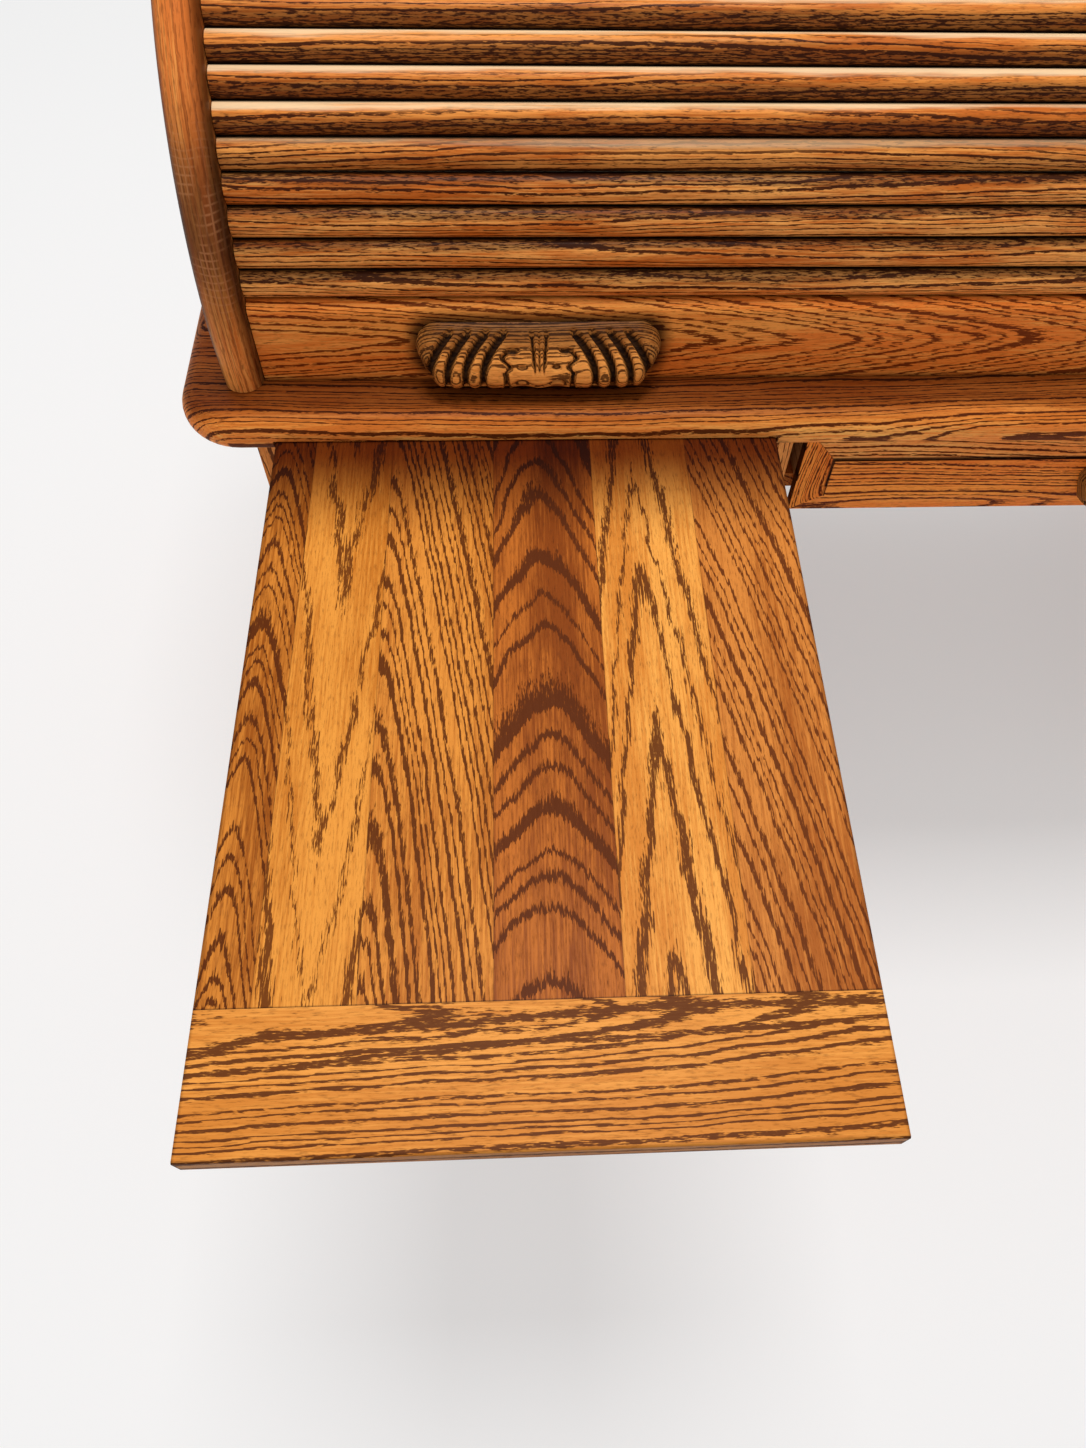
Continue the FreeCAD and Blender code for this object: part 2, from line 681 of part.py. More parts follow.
def make_ledges():
    """Two ledges on the pedestals that carry the drawer over the kneehole."""
    y_range = (frame_back, frame_back + centre_box_depth)
    z_range = (ledge_top - ledge_height, ledge_top)
    ledges = [board(f"{name}_ledge", across(side, pedestal_inner - ledge_width, pedestal_inner),
                    y_range, z_range) for name, side in SIDES]
    return together("centre_drawer_ledges", ledges)


# ---------------------------------------------------------------- the writing slides

def make_slide(name, side, slide_front):
    """Six boards glued side by side, with a grooved rail across each end and a stop underneath."""
    left, right = across(side, slide_near, slide_near + slide_width)
    shoulders = [left] + [left + slide_width * cut for cut in stave_cuts] + [right]
    board_front = slide_front + slide_end_rail
    board_rear = slide_front + slide_length - slide_tail_rail
    z_range = (slide_bottom, slide_top)
    tongue_z = ((slide_bottom + slide_top - slide_tongue_thickness) / 2,
                (slide_bottom + slide_top + slide_tongue_thickness) / 2)
    tongue_y = (board_front - slide_tongue, board_rear + slide_tongue)
    staves = []
    for number, x_range in enumerate(zip(shoulders, shoulders[1:]), 1):
        stave = f"{name}_stave_{number}"
        staves.append(joined(stave, [
            board(f"{stave}_board", x_range, (board_front, board_rear), z_range),
            board(f"{stave}_tongue", x_range, tongue_y, tongue_z),
        ]))

    end_rail = Piece(f"{name}_slide_end_rail")
    outline = rectangle(left, right, slide_front, board_front)
    end_rail.pad(end_rail.sketch("plan", [outline]), slide_thickness)
    end_rail.place(z=slide_bottom)
    end_rail.soften("Fillet", slide_edge,
                    lambda edge: level(edge) and edge.BoundBox.YMax < slide_front.value + NEAR)
    groove = rectangle(board_front - slide_tongue, board_front,
                       (slide_thickness - slide_tongue_thickness) / 2,
                       (slide_thickness + slide_tongue_thickness) / 2)
    end_rail.pocket(end_rail.sketch("side", [groove]))

    tail_board = board(f"{name}_tail_board", (left, right),
                       (board_rear, slide_front + slide_length), z_range)
    tail_groove = board(f"{name}_tail_groove", (left - SPARE, right + SPARE),
                        (board_rear - SPARE, tongue_y[1]), tongue_z)
    stop_front = slide_front + slide_reach + pedestal_setback + stile_depth + slide_stop_gap
    stop_inset = runner_width + slide_side_play
    tail = together(f"{name}_slide_tail", [
        cut_from(f"{name}_tail_rail", tail_board, tail_groove),
        board(f"{name}_slide_stop", (left + stop_inset, right - stop_inset),
              (stop_front, stop_front + slide_stop_depth), (slide_bottom - slide_stop_height, slide_bottom)),
    ])
    return [together(f"{name}_slide_boards", staves), end_rail.body, tail]


# ---------------------------------------------------------------- drawers and pulls

def make_pull(name, width, x, y, z, lean=None):
    """A carved-wood pull: a bellied block with a finger hollow underneath.

    Its own origin is on the face that it is glued to, at the middle of its height.
    """
    low, high = -pull_height / 2, pull_height / 2
    half = width / 2
    hollow_half = half - pull_hollow_end
    piece = Piece(name)
    belly = [
        (ZERO, low),
        (ZERO, high, curve(pull_belly, +1)),
        (-pull_depth, low + pull_lip, curve(pull_lip_radius, +1)),
        (-pull_foot, low),
    ]
    piece.pad(piece.sketch("side", [belly]), width, both=True)
    waist = low + pull_height - pull_shoulder
    face = [
        (-half + pull_taper, low),
        (half - pull_taper, low),
        (half, waist, curve(pull_shoulder, +1)),
        (half - pull_shoulder, high),
        (-half + pull_shoulder, high, curve(pull_shoulder, +1)),
        (-half, waist),
    ]
    around = rectangle(-width, width, -pull_height, pull_height)
    piece.pocket(piece.sketch("front", [around, face]))
    hollow = rectangle(-hollow_half, hollow_half,
                       -(pull_hollow_back + pull_hollow_depth), -pull_hollow_back)
    piece.pocket(piece.sketch("plan", [hollow], low), pull_hollow_height, reverse=True)
    piece.place(x, y, z, lean)
    return piece.body


def make_drawer_front(name, x_range, face_y, z_range):
    """A solid front with a raised field, a shoulder and a sloping border."""
    left, right = x_range
    low, high = z_range
    field_x = (left + front_border, right - front_border)
    field_z = (low + front_border, high - front_border)
    shoulder = face_y + front_shoulder
    rim = face_y + front_rise
    return joined(f"{name}_front", [
        board(f"{name}_front_rim", x_range, (rim, face_y + front_thickness), z_range),
        sloped(f"{name}_front_slope", field_x + field_z, x_range + z_range, (shoulder, rim)),
        board(f"{name}_front_field", field_x, (face_y, shoulder), field_z),
    ])


def make_box(name, x_range, y_range, z_range):
    """The drawer's box: two sides, a back between them and a thin bottom in between."""
    left, right = x_range
    near, far = y_range
    low, high = z_range
    inside = (left + box_wall, right - box_wall)
    bottom = low + box_bottom_rise
    return together(f"{name}_box", [
        board(f"{name}_left_wall", (left, left + box_wall), y_range, z_range),
        board(f"{name}_right_wall", (right - box_wall, right), y_range, z_range),
        board(f"{name}_rear_wall", inside, (far - box_wall, far), (bottom + box_bottom_thickness, high)),
        board(f"{name}_bottom", inside, (near, far), (bottom, bottom + box_bottom_thickness)),
    ])


face_y = pedestal_front - front_proud


def make_drawer(name, side, floor, roof):
    """One pedestal drawer in its opening."""
    near, far = opening_inner, opening_outer
    front_x = across(side, near + front_gap, far - front_gap)
    front_z = (floor + front_gap, roof - front_gap)
    box_x = across(side, near + box_play, far - box_play)
    box_y = (face_y + front_thickness, back_board_front - box_rear_gap)
    box_z = (floor + seat_gap, roof - box_headroom)
    middle = (front_z[0] + front_z[1]) / 2
    return [
        make_drawer_front(name, front_x, face_y, front_z),
        make_box(name, box_x, box_y, box_z),
        make_pull(f"{name}_pull", pull_width, pedestal_middle * side, face_y, middle),
    ]


def make_centre_drawer():
    """The wide shallow drawer over the kneehole, which runs on the two ledges."""
    half = pedestal_inner - centre_side_gap
    front_z = (centre_front_bottom, centre_front_top)
    box_half = half - box_play
    box_y = (face_y + front_thickness, face_y + front_thickness + centre_box_depth)
    box_z = (ledge_top + seat_gap, centre_front_top - box_play)
    middle = (centre_front_bottom + centre_front_top) / 2
    return [
        make_drawer_front("centre_drawer", (-half, half), face_y, front_z),
        make_box("centre_drawer", (-box_half, box_half), box_y, box_z),
        make_pull("centre_drawer_pull", centre_pull_width, ZERO, face_y, middle),
    ]


# ---------------------------------------------------------------- the roll and its housing

def make_gable(name, side):
    """The curved end of the roll: a full-round front edge and a round track in its inner face.

    A disc with a half-round rim is turned about the middle of the track, the board behind it is
    added, and what reaches past the desktop and the deck is trimmed off.
    """
    bottom, top = -track_lift, deck_lift
    gable_back = gable_rear - track_y
    outer_face = gable_thickness * side
    half = gable_thickness / 2
    rim = gable_radius - half
    piece = Piece(f"{name}_gable")
    disc = [
        (ZERO, ZERO),
        (outer_face, ZERO),
        (outer_face, rim, curve(half, side)),
        (outer_face / 2, gable_radius, curve(half, side)),
        (ZERO, rim),
    ]
    piece.revolve(piece.sketch("front", [disc]))
    behind = rectangle(ZERO, gable_back, bottom, top)
    piece.pad(piece.sketch("side", [behind]), gable_thickness, reverse=side == LEFT)
    beyond = gable_radius + SPARE
    for edge, waste in ((top, top + beyond), (bottom, bottom - beyond)):
        trim = rectangle(-beyond, gable_back + beyond, edge, waste)
        piece.pocket(piece.sketch("side", [trim]))
    slot = piece.sketch("side", [])
    draw_circle(slot, track_outer)
    draw_circle(slot, track_inner)
    piece.pocket(slot, track_depth, reverse=side == RIGHT)
    piece.place(gable_inner * side, track_y, track_z)
    return piece.body


def make_deck():
    """The board that the gables carry, above the roll."""
    half = gable_outer + deck_overhang
    near = track_y - deck_lead
    piece = Piece("deck")
    plan = rounded_front(half, near, rear, deck_corner)
    piece.pad(piece.sketch("plan", [plan]), deck_thickness)
    piece.place(z=deck_under)
    piece.soften("Fillet", (deck_thickness - bullnose_land) / 2,
                 lambda edge: lies_on_rim(edge, near))
    return piece.body


def make_organiser():
    """Pigeonholes on the desktop, inside the round path of the roll."""
    half = gable_inner - organiser_side_gap
    corner_reach = slat_back - organiser_clearance
    near = track_y - organiser_depth / 2
    y_range = (near, near + organiser_depth)
    low = desktop_height
    high = track_z + root(corner_reach * corner_reach - organiser_depth * organiser_depth / 4)
    back_y = (y_range[1] - organiser_board, y_range[1])
    inner_y = (near, back_y[0])
    inner_half = half - organiser_board
    shelf = desktop_height + organiser_shelf
    case = together("organiser_case", [
        board("organiser_left_end", (-half, -inner_half), y_range, (low, high - organiser_board)),
        board("organiser_right_end", (inner_half, half), y_range, (low, high - organiser_board)),
        board("organiser_top", (-half, half), y_range, (high - organiser_board, high)),
        board("organiser_back", (-inner_half, inner_half), back_y, (low, high - organiser_board)),
    ])
    boards = [board("organiser_shelf", (-inner_half, inner_half), inner_y, (shelf - organiser_board, shelf))]
    rows = (("upper", UPPER_PARTITIONS, (shelf, high - organiser_board)),
            ("lower", LOWER_PARTITIONS, (low, shelf - organiser_board)))
    for row_name, count, z_range in rows:
        for number in range(1, count + 1):
            middle = inner_half * (2 * number / (count + 1) - 1)
            x_range = (middle - organiser_board / 2, middle + organiser_board / 2)
            boards.append(board(f"organiser_{row_name}_partition_{number}", x_range, inner_y, z_range))
    return [case, together("organiser_partitions", boards)]


slat_half_width = slat_back * sine(slat_pitch / 2) / cosine(slat_pitch / 2) - slat_joint / 2
slat_face_radius = (slat_half_width * slat_half_width + slat_round * slat_round) / (slat_round * 2)
track_inner = slat_back - track_play
tongue_front = slat_back + tongue_thickness
track_outer = root(tongue_front * tongue_front + slat_half_width * slat_half_width) + track_play
rail_half = lift_rail_height / 2
rail_back = root(slat_back * slat_back - rail_half * rail_half)
rail_corner = root(curtain_radius * curtain_radius + rail_half * rail_half)
rail_middle = arc_sine(rail_half / rail_corner) - arc_sine((track_lift - lift_rail_seat) / rail_corner)
rail_sweep = arc_sine(rail_half / slat_back)
first_slat = rail_middle + rail_sweep + slat_pitch / 2
tongue_reach = gable_inner + track_depth - tongue_end_play
curtain_reach = gable_inner - slat_end_play


def make_slats():
    """The slats of the roll: flat at the canvas, rounded in front, with a thin tongue on each end."""
    piece = Piece("slats")
    edge = slat_half_width
    shoulder = -(curtain_radius - slat_round)
    face = [
        (-slat_back, -edge),
        (-slat_back, edge),
        (shoulder, edge, curve(slat_face_radius, +1)),
        (shoulder, -edge),
    ]
    slat = piece.pad(piece.sketch("side", [face]), curtain_reach * 2, both=True)
    end = rectangle(-tongue_front, -slat_back, -edge, edge)
    tongue = piece.pad(piece.sketch("side", [end]), tongue_reach * 2, both=True)
    doc.recompute()
    pattern = piece.body.newObject("PartDesign::PolarPattern", "slat_pattern")
    pattern.Originals = [slat, tongue]
    turning_axis = next(f for f in piece.body.Origin.OriginFeatures if f.Role == "X_Axis")
    pattern.Axis = (turning_axis, [""])
    pattern.Reversed = True
    pattern.setExpression("Angle", (slat_pitch * (slat_count - 1)).text)
    pattern.setExpression("Occurrences", slat_count.text)
    piece.body.Tip = pattern
    piece.place(ZERO, track_y, track_z, first_slat)
    return piece.body


def make_lift_rail():
    """The bottom rail of the roll: flat, rounded at its top edge, with curved tongues in the track."""
    piece = Piece("lift_rail")
    half = rail_half
    face = [
        (-rail_back, -half),
        (-rail_back, half),
        (-curtain_radius + lift_rail_round, half, curve(lift_rail_round, +1)),
        (-curtain_radius, half - lift_rail_round),
        (-curtain_radius, -half),
    ]
    piece.pad(piece.sketch("side", [face]), curtain_reach * 2, both=True)
    outer, inner = track_outer - track_play, track_inner + track_play
    sweep = arc_sine((half - slat_joint) / outer)
    tongue = [
        (-inner * cosine(sweep), -inner * sine(sweep), curve(inner, -1)),
        (-inner * cosine(sweep), inner * sine(sweep)),
        (-outer * cosine(sweep), outer * sine(sweep), curve(outer, +1)),
        (-outer * cosine(sweep), -outer * sine(sweep)),
    ]
    piece.pad(piece.sketch("side", [tongue]), tongue_reach * 2, both=True)
    piece.place(ZERO, track_y, track_z, rail_middle)
    return piece.body


def make_canvas():
    """The cloth glued flat behind the lift rail, and from there on bent round behind the slats."""
    piece = Piece("canvas")
    outer, inner = slat_back, slat_back - canvas_thickness
    flat_inner = rail_back - canvas_thickness
    hem = canvas_hem - rail_half
    end = rail_sweep + slat_pitch * slat_count
    cloth = [
        (-rail_back, hem),
        (-rail_back, rail_half, curve(outer, -1)),
        (-outer * cosine(end), outer * sine(end)),
        (-inner * cosine(end), inner * sine(end), curve(inner, +1)),
        (-flat_inner, root(inner * inner - flat_inner * flat_inner)),
        (-flat_inner, hem),
    ]
    piece.pad(piece.sketch("side", [cloth]), (gable_inner - canvas_margin) * 2, both=True)
    piece.place(ZERO, track_y, track_z, rail_middle)
    return piece.body


def make_roll_pulls():
    """Two pulls on the face of the lift rail."""
    out_y = roll_pull_lift * sine(rail_middle) - curtain_radius * cosine(rail_middle)
    up_z = roll_pull_lift * cosine(rail_middle) + curtain_radius * sine(rail_middle)
    offset = gable_inner - roll_pull_inset
    return [make_pull(f"{name}_roll_pull", pull_width, offset * side, track_y + out_y, track_z + up_z,
                      rail_middle) for name, side in SIDES]


def make_roll_back():
    """The board behind the roll, between the gables."""
    return board("roll_back", (-gable_inner, gable_inner),
                 (roll_back_rear - roll_back_thickness, roll_back_rear), (desktop_height, deck_under))


# ---------------------------------------------------------------- the whole desk

def make_desk():
    """Every sub-part, in the order in which the desk is put together."""
    parts = []
    for name, side in SIDES:
        parts += make_pedestal(name, side)
    parts += [make_desktop(), make_modesty_panel(), make_ledges()]
    parts += make_slide("left", LEFT, slide_drawn)
    parts += make_slide("right", RIGHT, slide_closed)
    for name, side in SIDES:
        for row, floor, roof in DRAWER_OPENINGS:
            parts += make_drawer(f"{name}_{row}_drawer", side, floor, roof)
    parts += make_centre_drawer()
    parts += [make_gable(name, side) for name, side in SIDES]
    parts += [make_deck(), make_roll_back()]
    parts += make_organiser()
    parts += [make_lift_rail(), make_slats(), make_canvas()]
    parts += make_roll_pulls()
    return parts


def check_and_write(parts):
    """Stop on anything that failed, then write each sub-part to its own file."""
    doc.recompute()
    for thing in doc.Objects:
        if "Invalid" in thing.State or "Error" in thing.State:
            raise RuntimeError(f"{thing.Label}: {thing.State}")
    os.makedirs("parts", exist_ok=True)
    for part in parts:
        if part.Shape.isNull() or not part.Shape.isValid():
            raise RuntimeError(f"{part.Label} has no valid shape")
        part.Shape.exportStep(f"parts/{part.Label}.step")
    print(len(parts), "sub-parts,", sum(len(part.Shape.Solids) for part in parts), "solids")


check_and_write(make_desk())
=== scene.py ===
# %% [markdown]
# # A roll-top desk in oak
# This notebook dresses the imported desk: the frame is loaded as it is, every board gets oak that
# follows its own grain, and the pulls get their carving. Everything is in metres. +X is to the
# sitter's right, +Y goes from the sitter to the back and +Z is up.

# %% Load the frame
import json
import math
import bmesh
import bpy
from mathutils import Matrix, Vector


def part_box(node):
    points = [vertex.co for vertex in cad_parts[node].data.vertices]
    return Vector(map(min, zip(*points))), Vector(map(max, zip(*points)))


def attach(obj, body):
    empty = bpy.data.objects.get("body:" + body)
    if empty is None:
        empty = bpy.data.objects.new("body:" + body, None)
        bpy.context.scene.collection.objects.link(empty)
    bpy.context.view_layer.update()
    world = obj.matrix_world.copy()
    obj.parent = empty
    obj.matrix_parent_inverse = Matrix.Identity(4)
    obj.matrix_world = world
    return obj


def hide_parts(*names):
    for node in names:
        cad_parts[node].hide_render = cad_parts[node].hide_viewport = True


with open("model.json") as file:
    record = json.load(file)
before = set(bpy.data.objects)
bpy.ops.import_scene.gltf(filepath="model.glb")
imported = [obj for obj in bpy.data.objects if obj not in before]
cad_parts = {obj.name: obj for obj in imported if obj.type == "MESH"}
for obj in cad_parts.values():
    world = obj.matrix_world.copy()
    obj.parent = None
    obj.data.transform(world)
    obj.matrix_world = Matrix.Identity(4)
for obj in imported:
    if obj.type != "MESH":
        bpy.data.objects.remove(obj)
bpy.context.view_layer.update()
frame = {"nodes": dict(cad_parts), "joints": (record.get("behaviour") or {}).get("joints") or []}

NODES = frame["nodes"]

# %% [markdown]
# ## Where things are
# A frame never moves, so the places that a pattern needs are read from it: the line that the roll
# turns about and the boxes of the boards. Reading them keeps the finish in step with the wood when
# a size changes. Four sizes of the roll can't be read off a box, so they are written out: the
# radius of the slats' crowns, the angle of one slat, the angle where the first slat starts and how
# far the lift rail leans back.

# %% Places read from the frame
joint_by_name = {joint["name"]: joint for joint in frame["joints"]}
_, TRACK_Y, TRACK_Z = joint_by_name["roll_turn"]["pos_m"]
CROWN_RADIUS = 0.243
SLAT_PITCH = math.radians(4.86)
FIRST_SLAT = math.radians(8.97)
RAIL_LEAN = math.radians(1.154)
desktop_low, desktop_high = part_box("desktop")
slide_low, slide_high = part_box("left_slide_boards")
rail_low, rail_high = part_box("lift_rail")
print("the roll turns about y", round(TRACK_Y, 4), "z", round(TRACK_Z, 4))
print("the left slide's boards reach from y", round(slide_low[1], 4), "to y", round(slide_high[1], 4))

# %% [markdown]
# ## Shader maths as Python
# A material is a net of nodes, and its sums are long to wire by hand. A small class that wraps a
# socket and has Python's operators lets a pattern be written as a formula. Any node that isn't a
# sum comes from the one method `node`.

# %% The wire class
class Wire:
    """A socket inside a material. Sums of wires and numbers add Math nodes."""

    def __init__(self, socket):
        self.socket = socket
        self.tree = socket.id_data

    def node(self, kind, settings=None, inputs=None, output=0):
        made = self.tree.nodes.new("ShaderNode" + kind)
        for name, value in (settings or {}).items():
            if name == "stops":
                fill_ramp(made.color_ramp, value)
            elif name == "interpolation":
                made.color_ramp.interpolation = value
            else:
                setattr(made, name, value)
        for name, value in (inputs or {}).items():
            if isinstance(value, Wire):
                self.tree.links.new(value.socket, made.inputs[name])
            else:
                made.inputs[name].default_value = value
        return Wire(made.outputs[output])

    def parts(self, kind):
        """The three numbers of a place or of a colour."""
        made = self.node(kind, inputs={0: self}).socket.node
        return tuple(Wire(made.outputs[index]) for index in range(3))

    def maths(self, operation, *values):
        return self.node("Math", {"operation": operation}, dict(enumerate(values)))

    def __add__(self, other):
        return self.maths("ADD", self, other)

    def __sub__(self, other):
        return self.maths("SUBTRACT", self, other)

    def __rsub__(self, other):
        return self.maths("SUBTRACT", other, self)

    def __mul__(self, other):
        return self.maths("MULTIPLY", self, other)

    def __truediv__(self, other):
        return self.maths("DIVIDE", self, other)

    def __pow__(self, other):
        return self.maths("POWER", self, other)

    def __gt__(self, other):
        return self.maths("GREATER_THAN", self, other)

    def __lt__(self, other):
        return self.maths("LESS_THAN", self, other)

    def __abs__(self):
        return self.maths("ABSOLUTE", self)

    __radd__ = __add__
    __rmul__ = __mul__


def fill_ramp(ramp, stops):
    """Give a colour ramp exactly these (place, colour) stops."""
    while len(ramp.elements) > 1:
        ramp.elements.remove(ramp.elements[-1])
    for index, (place, colour) in enumerate(stops):
        stop = ramp.elements[0] if index == 0 else ramp.elements.new(place)
        stop.position = place
        stop.color = (*colour[:3], 1.0)


# %% [markdown]
# A few steps come back in every pattern: a soft step between two levels, a mix of two numbers or
# two colours, noise that is drawn out along the grain and a random number for each board.

# %% Small steps for patterns
def soft_step(wire, low, high):
    """0 below low, 1 above high, smooth in between."""
    return wire.node("MapRange", {"interpolation_type": "SMOOTHSTEP"},
                     {0: wire, 1: low, 2: high, 3: 0.0, 4: 1.0})


def hump(wire, middle, half):
    """1 at the middle and 0 from half away on either side."""
    return 1.0 - soft_step(abs(wire - middle), 0.0, half)


def floor_of(wire):
    return wire.maths("FLOOR", wire)


def sine(wire):
    return wire.maths("SINE", wire)


def larger(first, second):
    return first.maths("MAXIMUM", first, second)


def smaller(first, second):
    return first.maths("MINIMUM", first, second)


def mix(share, first, second):
    """A mix of two numbers."""
    return share.node("Mix", {"data_type": "FLOAT"}, {0: share, 2: first, 3: second})


def blend(share, first, second, how="MIX"):
    """A mix of two colours."""
    maker = share if isinstance(share, Wire) else (first if isinstance(first, Wire) else second)
    return maker.node("Mix", {"data_type": "RGBA", "blend_type": how},
                      {0: share, 6: first, 7: second}, output=2)


def point(x, y, z):
    """Three numbers as one place."""
    maker = next(value for value in (x, y, z) if isinstance(value, Wire))
    return maker.node("CombineXYZ", inputs={0: x, 1: y, 2: z})


def noise(place, detail=1.0, roughness=0.5):
    """Cloudy values from 0 to 1 at a place that is already stretched to the wanted grain."""
    return place.node("TexNoise", {"noise_dimensions": "3D"},
                      {"Vector": place, "Scale": 1.0, "Detail": detail, "Roughness": roughness})


def lot(number):
    """Three random numbers that belong to one whole number."""
    return number.node("TexWhiteNoise", {"noise_dimensions": "1D"}, {"W": number},
                       output=1).parts("SeparateColor")


def tone(red, green, blue):
    """A colour written as on a screen, 0 to 255, turned into the linear values that shaders use."""
    linear = []
    for value in (red, green, blue):
        share = value / 255
        linear.append(share / 12.92 if share <= 0.04045 else ((share + 0.055) / 1.055) ** 2.4)
    return (*linear, 1.0)


# %% [markdown]
# ## Oak
# Oak grows a ring of wide open pores each spring, and the dark glaze stays in those pores. A flat
# board cuts the rings at a slant, so they show as long arches in the middle and as straight lines
# near the edges. The pattern does what the saw does: it measures how far a point lies from the
# heart of the log, lets that distance drift along the board, and darkens the start of each ring.
# Because it is worked out in the solid, the lines run round every edge as they do in real wood.
# The pores are long tubes along the grain, so the crown of an arch ends in a comb of teeth while
# its flanks stay clean: the noise that makes the teeth shifts the point along the grain only.

# %% The rings of a log
# dark glaze, and on some boards painted shade as well
GLAZE_AND_SHADE = tone(22, 8, 3)
# painted shade, multiplied into the slide near the desktop's edge and into the desktop in front of the roll
SHADE_TONE = tone(112, 78, 50)


class Log:
    """Where a board lay in its log, in metres.

    heart: place of the middle of the arches across the board. flat: how deep the heart of the log
    lies below the face. ring: from one ring to the next. comb: length of the teeth on an arch.
    sway: how far a ring wanders. width: the share of a ring that is spring wood.
    """

    def __init__(self, heart=0.0, flat=0.03, ring=0.006, comb=0.010, sway=0.012, width=0.26, seed=0.0):
        self.heart = heart
        self.flat = flat
        self.ring = ring
        self.comb = comb
        self.sway = sway
        self.width = width
        self.seed = seed


def oak_figure(along, across, depth, drift, climb, log, more=None):
    """The look of one board: the dark spring bands, the fine pores and a cloudy tone, each 0 to 1.

    drift is how far the rings have moved at this place along the board, and climb is how fast they
    move there, which makes the teeth of the comb as long on every arch. more is spring wood on top of
    the rings, for a broad flame.
    """
    seed = log.seed
    teeth = noise(point(along * 36.0, across * 620.0 + seed * 3.1, depth * 620.0), 2.0, 0.7)
    wander = noise(point(along * 5.5, across * 15.0, depth * 15.0 + seed * 7.7), 1.5)
    ripple = noise(point(along * 34.0, across * 70.0, depth * 70.0 + seed * 2.3), 0.0)
    sideways = across - log.heart
    inwards = depth + log.flat
    distance = (sideways * sideways + inwards * inwards) ** 0.5
    grown = distance + drift + (teeth - 0.5) * climb * log.comb + (wander - 0.5) * log.sway
    age = grown / log.ring + (ripple - 0.5) * 0.38 + seed * 5.1
    age = age + sine(age * 1.9) * 0.26 + sine(age * 0.83) * 0.3
    number = floor_of(age)
    place = age - number
    first, second, _ = lot(number + seed)
    pores = noise(point(along * 140.0, across * 960.0, depth * 960.0 + seed), 2.0, 0.65)
    late = mix(first, 0.75, 1.45) * log.width
    crowd = soft_step(place, -0.02, 0.05) * (1.0 - soft_step(place / late, 0.45, 1.30))
    crowd = crowd * mix(second, 0.72, 1.0)
    if more is not None:
        crowd = larger(crowd, more)
    band = soft_step(crowd + (pores - 0.5) * 2.1, 0.38, 0.68)
    fibres = noise(point(along * 22.0, across * 560.0 + seed, depth * 560.0), 2.0, 0.7)
    cloud = noise(point(along * 3.0 + seed * 9.0, across * 26.0, depth * 26.0), 2.0)
    cloud = cloud + (fibres - 0.5) * 0.85
    return band, pores, cloud


# %% [markdown]
# The varnish is the same on every board: a satin film that has sunk into the open pores. So the
# pores are also a little lower and a little less glossy than the wood between them.

# %% From rings to a varnished surface
def new_material(name):
    """An empty material with its three object coordinates."""
    material = bpy.data.materials.new(name)
    material.use_nodes = True
    tree = material.node_tree
    start = Wire(tree.nodes.new("ShaderNodeTexCoord").outputs["Object"])
    return start.parts("SeparateXYZ")


def varnished(name, colour, roughness, height, coat=0.02, lift=0.0004):
    """Wire a colour, a roughness and a height into one varnished surface."""
    tree = colour.tree
    shader = tree.nodes["Principled BSDF"]
    bump = colour.node("Bump", None, {"Strength": 0.5, "Distance": lift, "Height": height})
    tree.links.new(colour.socket, shader.inputs["Base Color"])
    tree.links.new(roughness.socket, shader.inputs["Roughness"])
    tree.links.new(bump.socket, shader.inputs["Normal"])
    shader.inputs["Coat Weight"].default_value = coat
    shader.inputs["Coat Roughness"].default_value = 0.25
    shader.inputs["Specular IOR Level"].default_value = 0.06
    return bpy.data.materials[name]


def oak_colour(figure, light, dark, spring, strength=0.96):
    """The colour of bare oak with its pores stained dark."""
    band, pores, cloud = figure
    wood = blend(soft_step(cloud, 0.30, 0.70), light, dark)
    dashes = soft_step(pores, 0.50, 0.68)
    wood = blend(dashes * 0.34, wood, spring)
    return blend(band * strength, wood, spring)


def oak_surface(name, figure, colour, shade=None, coat=0.02):
    """Colour, gloss and relief. shade is the share of dark colour put on the wood: glaze on some boards,
    painted shade on others, and both on a few.
    """
    band, pores, _ = figure
    if shade is not None:
        colour = blend(shade, colour, GLAZE_AND_SHADE)
    comb = soft_step(pores, 0.45, 0.70)
    height = 1.0 - comb * 0.35 - band * 0.45
    roughness = 0.44 + band * 0.14 + comb * 0.06
    return varnished(name, colour, roughness, height, coat)


# %% [markdown]
# ## Plain boards
# Most boards lie along one of the three axes. The finish takes the axis of the grain, cuts wide
# faces into boards of a natural width, and gives each board its own log, so that no two look alike.
# The drift goes up and down slowly along a board, as a tree's taper and bends make it do.

# %% A board along one axis
LIGHT, DARK, SPRING = tone(232, 146, 66), tone(200, 116, 46), tone(94, 44, 14)
LEAST_CLIMB = 0.02
ANY_PHASE = 6.28


def slow_drift(along, slope, length, phase=0.0):
    """A drift that rises and falls along the board, and how fast it moves at each place."""
    turns = along * (math.tau / length) + phase
    size = slope * length / math.tau
    return sine(turns) * size, abs(turns.maths("COSINE", turns)) * slope + LEAST_CLIMB


def board_figure(places, grain, low, high, width=0.13, ring=0.0055, slope=0.05, length=2.2, seed=1.0,
                 sway=0.012, comb=0.02):
    """Boards of one width side by side in a box, with the grain along one axis.

    The thinner of the two other directions is the boards' thickness.
    """
    grain_axis = "xyz".index(grain)
    others = sorted({0, 1, 2} - {grain_axis}, key=lambda axis: high[axis] - low[axis])
    depth = high[others[0]] - places[others[0]]
    across = places[others[1]] - low[others[1]]
    along = places[grain_axis]
    number = floor_of(across / width)
    first, second, third = lot(number + seed)
    heart = (number + 0.15 + first * 0.7) * width
    drift, climb = slow_drift(along, slope, length, second * ANY_PHASE)
    log = Log(heart, 0.008 + third * 0.03, ring, comb=comb, sway=sway, seed=first * 3.0 + seed)
    return oak_figure(along, across, depth, drift, climb, log)


